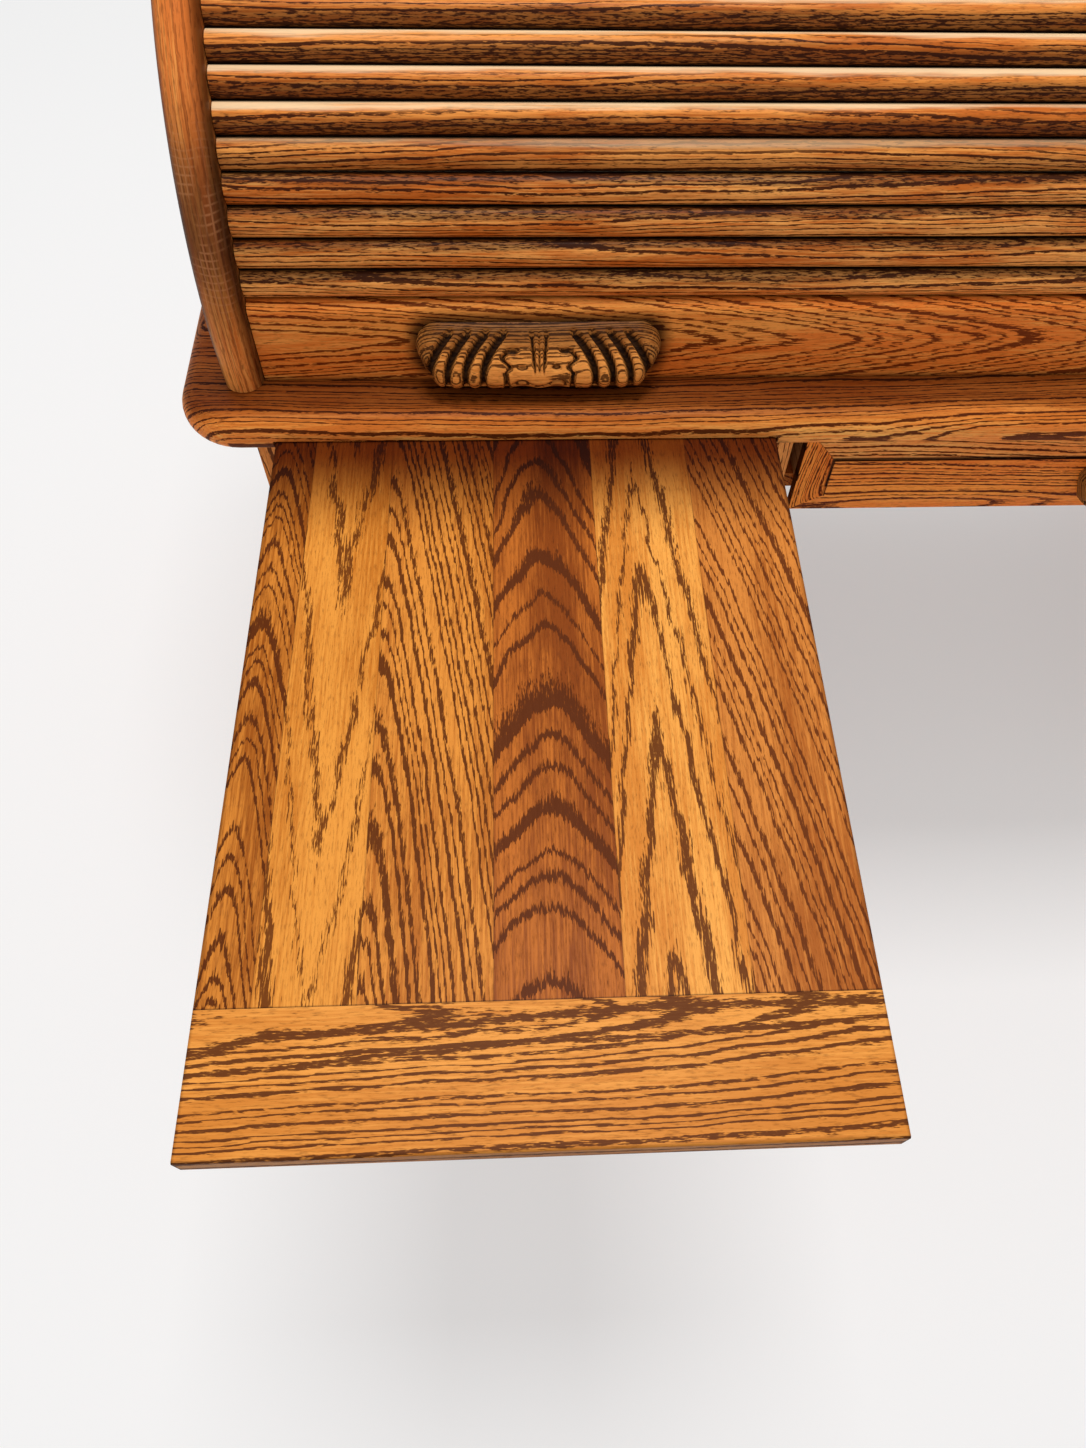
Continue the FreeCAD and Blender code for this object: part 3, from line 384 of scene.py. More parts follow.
def plain_oak(node, grain, light=LIGHT, dark=DARK, spring=SPRING, seed=1.0, **board):
    """A finish for one node's plain boards."""
    places = new_material(f"{node} oak")
    figure = board_figure(places, grain, *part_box(node), seed=seed, **board)
    return oak_surface(f"{node} oak", figure, oak_colour(figure, light, dark, spring))


def plinth_oak(node, thickness=0.022):
    """A ring of boards: the grain turns with the ring."""
    places = new_material(f"{node} oak")
    low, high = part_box(node)
    side_board = abs(places[0] - (low[0] + high[0]) / 2) > ((high[0] - low[0]) / 2 - thickness)
    front = board_figure(places, "x", low, high, seed=2.2)
    beside = board_figure(places, "y", low, high, seed=4.1)
    figure = tuple(mix(side_board, one, other) for one, other in zip(front, beside))
    return oak_surface(f"{node} oak", figure, oak_colour(figure, LIGHT, DARK, SPRING))


def mixed_oak(name, along_axis, light=LIGHT, dark=DARK, spring=SPRING, strength=0.96, coat=0.02, ring=0.005):
    """Thin boards that face every way: their rings lie askew, so that they show as lines on each face."""
    places = new_material(name)
    along = places["xyz".index(along_axis)]
    across, depth = (places[axis] for axis in range(3) if axis != "xyz".index(along_axis))
    drift, climb = slow_drift(along, 0.03, 0.9, 1.2)
    log = Log(-2.0, 2.0, ring, comb=0.02, sway=0.012, seed=1.4)
    figure = oak_figure(along, across, depth, drift, climb, log)
    return oak_surface(name, figure, oak_colour(figure, light, dark, spring, strength), coat=coat)


# %% [markdown]
# ## The writing slides
# A slide is six boards glued side by side with a rail across each end. The boards came from
# different logs, so each has its own figure: narrow arches, a broken flame, lines that fan out,
# wide arches, long spearheads and slanting lines. The number of glue lines to the left of a point
# tells which board it is on, and a ramp with hard steps serves as a small table of the logs.

# %% Logs of the slide's boards
GLUE_LINES = (0.081, 0.232, 0.430, 0.622, 0.812)
GLUE_HALF_WIDTH = 0.0016
SLIDE_TONGUE = 0.012
# a ramp holds values from 0 to 1, so the lengths are divided by these (mm) on their way through it
MOST_PLACE, MOST_COMB, MOST_SWAY = 400, 200, 100
# heart and flat (mm), climb at the front end, change of the climb per metre, ring, comb, sway (mm), width
STAVE_LOGS = (
    (9, 8, 0.15, 0.10, 4.4, 16, 7, 0.33),
    (61, 2, -0.135, 0.0, 21, 130, 8, 0.21),
    (90, 7, 0.12, 0.07, 5.2, 24, 4, 0.44),
    (197, 24, 0.62, -0.40, 12.5, 18, 15, 0.33),
    (267, 3, 0.125, 0.0, 17.0, 110, 4, 0.30),
    (290, 20, 0.17, 0.06, 6.0, 24, 6, 0.34),
)
STAVE_LIGHTS = (tone(220, 136, 50), tone(240, 158, 64), tone(234, 150, 60),
                tone(200, 112, 40), tone(252, 174, 80), tone(222, 138, 60))
STAVE_DARKS = (tone(160, 84, 18), tone(202, 118, 36), tone(188, 106, 34),
               tone(140, 68, 20), tone(220, 134, 50), tone(174, 94, 32))
STAVE_SPRINGS = (tone(92, 40, 6), tone(112, 56, 12), tone(98, 46, 10),
                 tone(94, 44, 16), tone(106, 54, 18), tone(106, 50, 16))


def glued_boards(share):
    """How many glue lines lie to the left: 0 for the first board, 1 for the second and so on."""
    number = share > GLUE_LINES[0]
    for line in GLUE_LINES[1:]:
        number = number + (share > line)
    return number


def table(number, rows):
    """Pick a row by a whole number: a ramp with hard steps, read at the middle of each step."""
    count = len(rows)
    stops = [(index / count, row) for index, row in enumerate(rows)]
    return number.node("ValToRGB", {"interpolation": "CONSTANT", "stops": stops},
                       {0: (number + 0.5) / count})


def stave_oak(name, side, seed):
    """The boards of one slide."""
    x, y, z = new_material(name)
    low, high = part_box(f"{side}_slide_boards")
    front_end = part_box(f"{side}_slide_end_rail")[0][1]
    drawn_length = desktop_low[1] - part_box("left_slide_end_rail")[0][1]
    width = high[0] - low[0]
    share = (x - low[0]) / width
    number = glued_boards(share)
    heart, flat, ring = table(number, [(h / MOST_PLACE, f / MOST_PLACE, r / MOST_PLACE)
                                       for h, f, _, _, r, _, _, _ in STAVE_LOGS]).parts("SeparateColor")
    climb, bend, comb = table(number, [(c / 2 + 0.5, b / 2 + 0.5, k / MOST_COMB)
                                       for _, _, c, b, _, k, _, _ in STAVE_LOGS]).parts("SeparateColor")
    sway, late, _ = table(number, [(s / MOST_SWAY, w, 0.0)
                                   for _, _, _, _, _, _, s, w in STAVE_LOGS]).parts("SeparateColor")
    place_scale, comb_scale, sway_scale = MOST_PLACE / 1000, MOST_COMB / 1000, MOST_SWAY / 1000
    along = y - front_end
    climb, bend = climb * 2.0 - 1.0, bend * 2.0 - 1.0
    drift = along * climb + along * along * bend
    steep = abs(climb + along * bend * 2.0)
    log = Log(heart * place_scale, flat * place_scale, ring * place_scale, comb * comb_scale,
              sway * sway_scale, late, number * 1.7 + seed)
    figure = oak_figure(along, x - low[0], high[2] - z, drift, steep, log)
    colour = oak_colour(figure, table(number, STAVE_LIGHTS), table(number, STAVE_DARKS),
                        table(number, STAVE_SPRINGS))
    rail_joint = hump(y, low[1] + SLIDE_TONGUE, 0.0012)
    glue = hump(share, GLUE_LINES[0], GLUE_HALF_WIDTH)
    for line in GLUE_LINES[1:]:
        glue = glue + hump(share, line, GLUE_HALF_WIDTH)
    edge = soft_step(abs(x - (low[0] + high[0]) / 2), width / 2 - 0.0030, width / 2)
    # painted shade: the boards darken where they come out from under the desktop's front edge
    mouth_shade = 1.0 - soft_step(abs(drawn_length - along), 0.008, 0.110)
    shade = smaller(rail_joint * 0.75 + glue * 0.35 + edge * 0.5, 1.0)
    colour = blend(mouth_shade, colour, SHADE_TONE, "MULTIPLY")
    return oak_surface(name, figure, colour, shade=shade)


# %% [markdown]
# The rail across the front end shows the edge of its log: two broad flames near the boards, then
# lines that draw together towards the front.

# %% The rail across a slide's end
def end_rail_oak(name, side, heart_inset, seed):
    x, y, z = new_material(name)
    low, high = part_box(f"{side}_slide_end_rail")
    wave, climb = slow_drift(x, 0.02, 0.8, 2.2)
    log = Log(0.0, 0.018, 0.0043, comb=0.07, sway=0.008, width=0.38, seed=seed)
    inwards = (high[1] - heart_inset) - y
    flow = noise(point(x * 8.0 + seed, inwards * 24.0, 3.0), 1.5)
    start = x - low[0]
    drift = wave + start * (0.060 - inwards * 0.45)
    first_flame = 0.021 - soft_step(start, 0.0, 0.050) * 0.011 - soft_step(start, 0.14, 0.27) * 0.009
    second_flame = 0.032 - start * 0.058
    waver = (flow - 0.5) * 0.012
    flame = hump(inwards - first_flame + waver, 0.0, 0.0062)
    flame = larger(flame, hump(inwards - second_flame + waver, 0.0, 0.0034)) * 0.86
    figure = oak_figure(x, inwards, high[2] - z, drift, climb, log, more=flame)
    colour = oak_colour(figure, tone(244, 162, 72), tone(216, 132, 50), tone(100, 50, 18))
    half = (high[0] - low[0]) / 2
    from_middle = abs(x - (low[0] + high[0]) / 2)
    # rim: painted shade on the rounded front edge, and the two ends a little darker
    rim = soft_step(low[1] + 0.003 - y, 0.0, 0.003) + soft_step(from_middle, half - 0.002, half)
    return oak_surface(name, figure, colour, shade=rim * 0.4)


# %% [markdown]
# ## The roll
# Each slat is a strip of its own, with the grain running along it. The angle round the middle of the track
# tells which slat a point is on and how far it is from that slat's edges, which are dark with glaze and
# painted shade. The tops of the lower slats and the lower parts of the upper slats are darkened as painted
# shade, the tops of the upper slats carry a painted highlight, and the lower slats get brighter tones as
# painted light.

# %% Slats
def round_track(places):
    """The angle above level round the middle of the track, and the distance from it."""
    forward = TRACK_Y - places[1]
    upward = places[2] - TRACK_Z
    return forward.maths("ARCTAN2", upward, forward), (forward * forward + upward * upward) ** 0.5


def slat_oak(name):
    places = new_material(name)
    x = places[0]
    angle, out = round_track(places)
    turn = (angle - FIRST_SLAT) / SLAT_PITCH
    number = floor_of(turn)
    inside = turn - number
    first, second, third = lot(number + 11.0)
    across = (inside - 0.5) * (SLAT_PITCH * CROWN_RADIUS)
    drift, climb = slow_drift(x, 0.03, 0.8, second * ANY_PHASE)
    log = Log(third * 0.03 + 0.030, 0.02, 0.0038, comb=0.03, sway=0.008, width=0.36,
              seed=first * 3.0 + 1.3)
    streak = noise(point(x * 11.0 + number * 3.7, across * 300.0, 0.0), 2.0, 0.65)
    broad = noise(point(x * 3.2 + number * 5.3, across * 70.0, 4.0), 1.0)
    height = inside + (streak - 0.5) * 0.45 + (broad - 0.5) * 0.55
    lower = 1.0 - soft_step(number, 3.5, 4.5)
    top = soft_step(height, 0.52, 0.78)
    bottom = 1.0 - soft_step(height, 0.22, 0.66)
    # painted shade: the tops of the lower slats and the lower parts of the upper slats are darkened
    shaded_part = mix(lower, bottom, top)
    # painted highlight on the tops of the upper slats, which also hides their grain lines
    painted_highlight = top * (1.0 - lower)
    figure = oak_figure(x, across, CROWN_RADIUS - out, drift, climb, log, more=shaded_part * 0.48)
    band, pores, cloud = figure
    figure = band * (1.0 - painted_highlight * 0.75), pores, cloud
    # painted light: the lower slats get brighter tones than the upper ones
    light = blend(lower, tone(246, 156, 72), tone(255, 176, 92))
    colour = oak_colour(figure, light, tone(204, 106, 36), tone(66, 24, 5))
    colour = blend(painted_highlight * soft_step(height, 0.66, 0.92) * 0.8, colour, tone(255, 224, 178))
    # the dark grooves between the slats are glaze and painted shade
    groove = soft_step(abs(inside - 0.5), 0.40, 0.49)
    painted_shade = shaded_part * mix(lower, 0.66, 0.60)
    colour = blend(painted_shade, colour, tone(44, 18, 6))
    return oak_surface(name, figure, colour, shade=groove * 0.97, coat=0.05)


# %% [markdown]
# The lift rail is one wide board. Its lines run level at the left and close into pointed arches in
# the middle. Round each pull the glaze is thick, because nobody can wipe there.

# %% Lift rail
PULL_CORNER = 0.012


def past_span(wire, low, high, inset):
    """How far a place lies past the ends of a span, once the span is drawn in by inset."""
    return larger(abs(wire - (low + high) / 2) - ((high - low) / 2 - inset), 0.0)


def lift_rail_oak(name):
    x, y, z = new_material(name)
    middle = (rail_low[2] + rail_high[2]) / 2
    drift, climb = slow_drift(x, 0.17, 3.2, 0.2)
    log = Log(0.002, 0.008, 0.0042, comb=0.03, sway=0.006, width=0.34, seed=2.6)
    figure = oak_figure(x, z - middle, y - rail_low[1], drift, climb, log)
    colour = oak_colour(figure, tone(255, 166, 78), tone(236, 124, 46), tone(96, 30, 1), 0.90)
    # painted shade along the bottom edge, where the rail sits on the desktop
    shade = soft_step(rail_low[2] + 0.005 - z, 0.0, 0.005) * 0.6
    for side in ("left", "right"):
        low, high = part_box(f"{side}_roll_pull")
        beside = past_span(x, low[0], high[0], PULL_CORNER)
        above = past_span(z, low[2], high[2], PULL_CORNER)
        gap = (beside * beside + above * above) ** 0.5
        halo = 1.0 - soft_step(gap, 0.010, 0.024)
        shade = larger(shade, halo * 0.85)
    return oak_surface(name, figure, colour, shade=shade)


# %% [markdown]
# ## The gables
# A gable is a board with upright grain and a full-round front edge. Where the edge leans over, the
# tool has cut across the fibres: the stain sinks in there and the silky rays show as a fine weave.

# %% Gables
def ray_lines(turns):
    """A thin line midway between every two whole numbers."""
    return hump(turns - floor_of(turns), 0.5, 0.22)


def gable_oak(name, side, seed):
    places = new_material(name)
    x, y, z = places
    angle, out = round_track(places)
    drift, climb = slow_drift(z, 0.06, 0.5, 1.0)
    log = Log(0.16, 0.02, 0.0050, comb=0.012, sway=0.010, width=0.3, seed=seed)
    low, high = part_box(f"{side}_gable")
    outer = low[0] if side == "left" else high[0]
    bead_start = (TRACK_Y - low[1]) - (high[0] - low[0]) / 2
    front = soft_step(TRACK_Y - y, 0.0, 0.03)
    side_figure = oak_figure(z, y, abs(x - outer), drift, climb, log)
    bead_log = Log(-0.3, 0.0, 0.0046, comb=0.012, sway=0.007, width=0.32, seed=seed + 0.6)
    bead_figure = oak_figure(angle * CROWN_RADIUS, abs(x - outer), y * 0.02, drift * 0.3, climb, bead_log)
    on_bead = (out > bead_start) * front
    figure = tuple(mix(on_bead, one, other) for one, other in zip(side_figure, bead_figure))
    colour = oak_colour(figure, tone(255, 168, 84), tone(224, 122, 52), tone(104, 44, 12),
                        mix(on_bead, 0.62, 0.42))
    blot = noise(point(x * 30.0, z * 14.0, 2.0), 1.0)
    rim = soft_step(out, bead_start - 0.010, bead_start + 0.002) * front
    dark = hump(angle + (blot - 0.5) * 0.25, math.radians(20.0), math.radians(26.0)) * rim
    colour = blend(dark * 0.80, colour, tone(68, 28, 10))
    columns = ray_lines((x - outer) / 0.0042 + (blot - 0.5) * 2.0)
    rows = ray_lines(angle * CROWN_RADIUS / 0.0050 + (blot - 0.5) * 4.0)
    crossing = larger(columns, rows)
    patch = noise(point(x * 60.0, z * 30.0, 5.0), 1.0)
    colour = blend(crossing * soft_step(patch, 0.40, 0.55) * dark * 0.42, colour, tone(206, 140, 92))
    # painted shade where the bead turns away to the side
    sideways = abs(x.node("TexCoord", output=1).parts("SeparateXYZ")[0])
    shade = soft_step(sideways, 0.50, 1.0) * rim
    return oak_surface(name, figure, colour, shade=shade * 0.78, coat=0.06)


# %% [markdown]
# ## The desktop
# Boards glued edge to edge with the grain along the desk. The strip in front of the roll, and beyond each
# gable's foot, is darkened with painted shade, the darkest place of the whole desk. The rounded front edge
# gets brighter tones than the flat top, a painted highlight.

# %% Desktop
DESKTOP_BOARD = 0.15


def desktop_oak(name):
    x, y, z = new_material(name)
    drift, climb = slow_drift(x, 0.045, 1.5, 0.9)
    board = floor_of((y - desktop_low[1]) / DESKTOP_BOARD)
    log = Log(board * DESKTOP_BOARD + 0.115, 0.025, 0.0038, comb=0.03, sway=0.013, width=0.32,
              seed=board * 1.3 + 4.4)
    figure = oak_figure(x, y - desktop_low[1], desktop_high[2] - z, drift, climb, log)
    on_top = soft_step(z, desktop_high[2] - 0.012, desktop_high[2] - 0.002)
    # painted highlight: the rounded front edge gets brighter tones than the flat top
    light = blend(on_top, tone(255, 180, 92), tone(252, 158, 70))
    dark = blend(on_top, tone(234, 130, 54), tone(216, 118, 42))
    colour = oak_colour(figure, light, dark, tone(84, 32, 5))
    # painted shade on the strip in front of the roll, and beyond each gable's foot
    roam = noise(point(x * 6.0, y * 30.0, 1.0), 1.0)
    near_roll = soft_step(y - desktop_low[1] + (roam - 0.5) * 0.016, -0.002, 0.024)
    under_roll = 1.0 - soft_step(y - desktop_low[1], 0.055, 0.075)
    shade = near_roll * under_roll * on_top * mix(soft_step(x, -0.35, -0.05), 0.64, 0.52)
    gable_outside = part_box("right_gable")[1][0]
    beside_gable = near_roll * on_top * soft_step(abs(x), gable_outside - 0.004, gable_outside + 0.004) * 0.58
    shade = larger(shade, beside_gable)
    colour = blend(smaller(shade * 1.35, 1.0), colour, SHADE_TONE, "MULTIPLY")
    return oak_surface(name, figure, colour, shade=shade * 0.15)


# %% [markdown]
# ## Drawer fronts
# A raised field with a black line of glaze and painted shadow in its shoulder, weaker along the bottom, and a
# sloping border. The border's two ends are cut across the end of the board, so their lines stand upright and
# bend round. The top border gets brighter tones as painted light, and the end faces of the front are painted
# dark as shade.

# %% Drawer fronts
BORDER_WIDTH = 0.0239
SHOULDER_LINE = 0.0232
LEAST_DISTANCE = 0.0005


def front_oak(name, node):
    x, y, z = new_material(name)
    sideways, facing, _ = x.node("TexCoord", output=1).parts("SeparateXYZ")
    low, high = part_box(node)
    middle_x, middle_z = (low[0] + high[0]) / 2, (low[2] + high[2]) / 2
    seed = (low[0] * 7.0 + low[2] * 13.0) % 5.0
    drift, climb = slow_drift(x, 0.04, 0.9, seed)
    log = Log(-0.045, 0.02, 0.0040, comb=0.05, sway=0.010, width=0.40, seed=seed)
    lying = oak_figure(x, z - middle_z, y - low[1], drift, climb, log)
    rise, turn = slow_drift(z, 0.12, 0.3, seed)
    end_log = Log(-0.3, 0.0, 0.0020, comb=0.01, sway=0.005, width=0.36, seed=seed + 1.0)
    to_end = (high[0] - low[0]) / 2 - abs(x - middle_x)
    to_edge = (high[2] - low[2]) / 2 - abs(z - middle_z)
    to_bottom = larger(z - low[2], LEAST_DISTANCE)
    round_corner = (larger(to_end, LEAST_DISTANCE) ** -3.0 + to_bottom ** -3.0) ** (-1 / 3)
    standing = oak_figure(z, round_corner, y - low[1], rise, turn, end_log)
    at_end = (to_end < to_edge) * (to_end < BORDER_WIDTH)
    figure = tuple(mix(at_end, one, other) for one, other in zip(lying, standing))
    border = soft_step(y - low[1], 0.0012, 0.0016)
    # painted light: the border above the field gets brighter tones
    lit_top_border = border * (1.0 - at_end) * (z > middle_z)
    light = blend(lit_top_border, tone(252, 152, 62), tone(255, 184, 102))
    dark = blend(lit_top_border, tone(228, 114, 38), tone(244, 144, 68))
    colour = oak_colour(figure, light, dark, tone(80, 24, 1))
    # the shoulder walls are black: glaze and painted shadow
    shoulder = (abs(facing) < 0.5) * (y - low[1] < 0.0035)
    inwards = smaller(to_end, to_edge)
    # the line along the shoulder is weaker along the bottom: glaze and painted shadow
    shoulder_shade = hump(inwards, SHOULDER_LINE, 0.0018) * mix(z > middle_z - 0.010, 0.4, 1.0)
    mitre = hump(to_end - to_edge, 0.0, 0.0012) * border * (z > middle_z)
    # painted shade: the end faces of the front are made dark
    end_face_shade = abs(sideways) > 0.5
    shade = larger(larger(shoulder, shoulder_shade) * 0.97, mitre * 0.35)
    shade = larger(shade, end_face_shade * 0.92)
    return oak_surface(name, figure, colour, shade=shade)


# %% [markdown]
# ## Frames
# In a frame the upright pieces have upright grain and the cross pieces level grain. Both figures are
# worked out, and the place tells which of the two shows.

# %% Frames
def framed_oak(node, across_axis, stile):
    """Stiles at both ends of a frame and rails between them. across_axis is 0 or 1."""
    name = f"{node} oak"
    places = new_material(name)
    low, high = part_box(node)
    middle = (low[across_axis] + high[across_axis]) / 2
    half = (high[across_axis] - low[across_axis]) / 2
    rail = abs(places[across_axis] - middle) < (half - stile)
    upright = board_figure(places, "z", low, high, width=0.09, seed=low[0] * 3.0, slope=0.04)
    level = board_figure(places, "xy"[across_axis], low, high, width=0.09, seed=low[0] * 5.0, slope=0.04)
    figure = tuple(mix(rail, one, other) for one, other in zip(upright, level))
    edge = hump(abs(places[across_axis] - middle), half - stile, 0.0010)
    colour = oak_colour(figure, tone(236, 154, 80), tone(206, 122, 56), tone(96, 46, 16))
    return oak_surface(name, figure, colour, shade=edge * 0.6)


# %% [markdown]
# A side's panels are level boards raised in the middle: the field stands proud, and its slopes run
# down into the grooves of the frame. The glaze gathers where the field meets its upright slopes.

# %% Panels of the sides
def panel_oak(node):
    name = f"{node} oak"
    places = new_material(name)
    low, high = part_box(node)
    figure = board_figure(places, "y", low, high, width=0.125, ring=0.0065, slope=0.10, length=0.9,
                          seed=low[0] * 2.0)
    colour = oak_colour(figure, LIGHT, DARK, SPRING)
    half = (high[1] - low[1]) / 2
    to_end = half - abs(places[1] - (low[1] + high[1]) / 2)
    shade = hump(to_end, 0.040, 0.0016) * 0.6
    return oak_surface(name, figure, colour, shade=shade)


# %% [markdown]
# ## The inside
# Drawer boxes and runners are plain pale wood without varnish. The canvas that holds the slats is a
# coarse weave: two sets of threads that pass over each other.

# %% Plain finishes for the inside
THREAD_TURNS = 3600.0


def canvas_cloth(name):
    places = new_material(name)
    angle, _ = round_track(places)
    weave = sine(places[0] * THREAD_TURNS) * sine(angle * CROWN_RADIUS * THREAD_TURNS)
    share = soft_step(weave, -0.8, 0.8)
    colour = blend(share, tone(150, 134, 104), tone(196, 182, 150))
    return varnished(name, colour, share * 0.1 + 0.8, share, coat=0.0)


# %% [markdown]
# ## Carved pulls
# Each pull is a bellied block of oak with a finger hollow below, carved by hand: a fan of three cuts in the
# middle, a scroll on each side of it, and leaning flutes with rounded crests between them. Cutting every
# flute as a separate shape would leave hard edges, so the pull is one skin: a ring of vertices is drawn out
# along the desk, given the outline of the block, and then pressed in where the gouge went. How much dark
# glaze a place holds, from the depth of its cut, is kept on the mesh, and the same value makes the pull
# darker towards its two ends.

# %% Outline of a pull, in millimetres
PULL_DEPTH, PULL_HALF_HEIGHT = 27.0, 21.0
BELLY_RADIUS, LIP_RADIUS, LIP_HEIGHT, FOOT = 46.0, 11.0, 9.0, 21.0
SHOULDER, TAPER = 19.0, 9.0
HOLLOW_NEAR, HOLLOW_FAR, HOLLOW_RISE, HOLLOW_END = 15.0, 4.0, 20.0, 22.0
BELLY_STEPS, LIP_STEPS = 40, 10
BELLY_STEP, LIP_STEP, BELLY_LENGTH = 1.107, 1.13, 44.3
SKIN_STEP, END_ROUND, THIN_END = 1.15, 15.0, 0.16


def arc_between(start, end, radius, count):
    """Places on an arc that bulges to the left of the way from start to end, without the end."""
    way = end - start
    side = Vector((way.y, -way.x)).normalized()
    centre = (start + end) / 2 - side * math.sqrt(radius ** 2 - (way.length / 2) ** 2)
    first = start - centre
    whole = first.angle_signed(end - centre)
    return [centre + Matrix.Rotation(-whole * step / count, 2) @ first for step in range(count)]


def line_between(start, end, count):
    return [start.lerp(end, step / count) for step in range(count)]


def pull_section():
    """The outline from the side as (y, z) places, and how many of them are carved."""
    low, high = -PULL_HALF_HEIGHT, PULL_HALF_HEIGHT
    top, lip, foot = Vector((0, high)), Vector((-PULL_DEPTH, low + LIP_HEIGHT)), Vector((-FOOT, low))
    near, far = Vector((-HOLLOW_NEAR, low)), Vector((-HOLLOW_FAR, low))
    rise, back = Vector((0, HOLLOW_RISE)), Vector((0, low))
    belly = arc_between(top, lip, BELLY_RADIUS, BELLY_STEPS)
    carved = belly + arc_between(lip, foot, LIP_RADIUS, LIP_STEPS)
    below = line_between(foot, near, 3) + line_between(near, near + rise, 4)
    below += line_between(near + rise, far + rise, 3) + line_between(far + rise, far, 4)
    return carved + below + line_between(far, back, 1) + line_between(back, top, 5), len(carved)


SECTION, CARVED = pull_section()
print("a pull's ring has", len(SECTION), "vertices")


def half_width(z, half):
    """How far a pull reaches to the side at a height."""
    waist = PULL_HALF_HEIGHT - SHOULDER
    if z > waist:
        return half - SHOULDER + math.sqrt(max(0.0, SHOULDER ** 2 - (z - waist) ** 2))
    return half - TAPER * (waist - z) / (waist + PULL_HALF_HEIGHT)


# %% [markdown]
# The cuts are measured on the skin: how far a place is from the middle, and how far down the belly
# it lies, counted from the top edge. Each cut is a smooth dip round its own middle line.

# %% The gouge's cuts
FIRST_FLUTE, FLUTE_PITCH, FLUTE_LEAN, FLUTE_DEPTH = 25.7, 13.2, 16, 5.0
END_FLUTE_INSET = 49
FULL_GLAZE = 3.4


def down_the_belly(number):
    """How far down the skin a vertex of the ring lies, counted from the top edge."""
    if number <= BELLY_STEPS:
        return number * BELLY_STEP
    return BELLY_LENGTH + (number - BELLY_STEPS) * LIP_STEP


def dip(distance, half):
    """1 on the middle line of a cut and 0 at its edges, round at the bottom."""
    share = abs(distance) / max(half, 0.01)
    return 0.0 if share >= 1 else (1 - share * share) ** 0.7


def ease(value, low, high):
    share = min(1.0, max(0.0, (value - low) / (high - low)))
    return share * share * (3 - 2 * share)


def flute_depth(off, down, last):
    """Leaning flutes with rounded crests between them."""
    run = min(1.0, max(0.0, (down - 8) / 37))
    lean = FLUTE_LEAN * (1 - (1 - run) ** 2)
    turn = (off - FIRST_FLUTE - lean) / FLUTE_PITCH
    nearest = min(last, max(0, round(turn)))
    half = (4.9 - 2.1 * run) * math.sqrt(ease(down, 5.5, 12))
    cut = FLUTE_DEPTH * dip((turn - nearest) * FLUTE_PITCH, half)
    crest = 0.0
    if -0.5 < turn < last + 0.5:
        crest = (abs(turn - nearest) * 2 - 1) ** 2
    rounded = crest * (1.2 * ease(down, 6, 16) + 2.4 * ease(down, 38, 52))
    return max(cut, rounded)


def leaf_depth(off, down):
    """The fan, the scrolls, two small dents and the edge of the leaf."""
    spread = 5.4 - 0.07 * (down - 9)
    opening = ease(down, 7, 11) * (1 - ease(down, 34, 41))
    fan = max(3.8 * dip(off - spread, 2.3 - 0.04 * down), 2.4 * dip(off, 1.2)) * opening
    curl = 24.5 + 2.7 * math.cos((down - 27) * math.tau / 14) * (1 - ease(down, 36, 42))
    scroll = 3.4 * dip(off - curl, 2.3) * ease(down, 19, 23)
    hook = 3.4 * dip(math.hypot((off - 19.5) / 6.0, (down - 21.5) / 3.0), 1.0)
    dent = 1.8 * dip(math.hypot((off - 12.5) / 4.2, (down - 33.5) / 2.4), 1.0)
    edge = 46.5 + 3.0 * math.cos(off * math.tau / 26)
    rim = 1.8 * dip(down - edge, 1.5) * (1 - ease(off, 24, 27))
    belly = 1.4 * ease(down, 41, 54) * math.sin(off * math.pi / 26) ** 2
    return max(fan, scroll, hook, dent, rim, belly)


def cut_depth(off, down, last):
    if off < 22:
        return leaf_depth(off, down)
    return max(leaf_depth(off, down) if off < 30 else 0.0, flute_depth(off, down, last))


# %% [markdown]
# The skin: a circle with as many vertices as the outline, extruded step by step. Each vertex then
# goes to its place on the outline, and carved places are pressed in towards the pull's core. The
# ends close by drawing the belly back to the face that the pull is glued to.

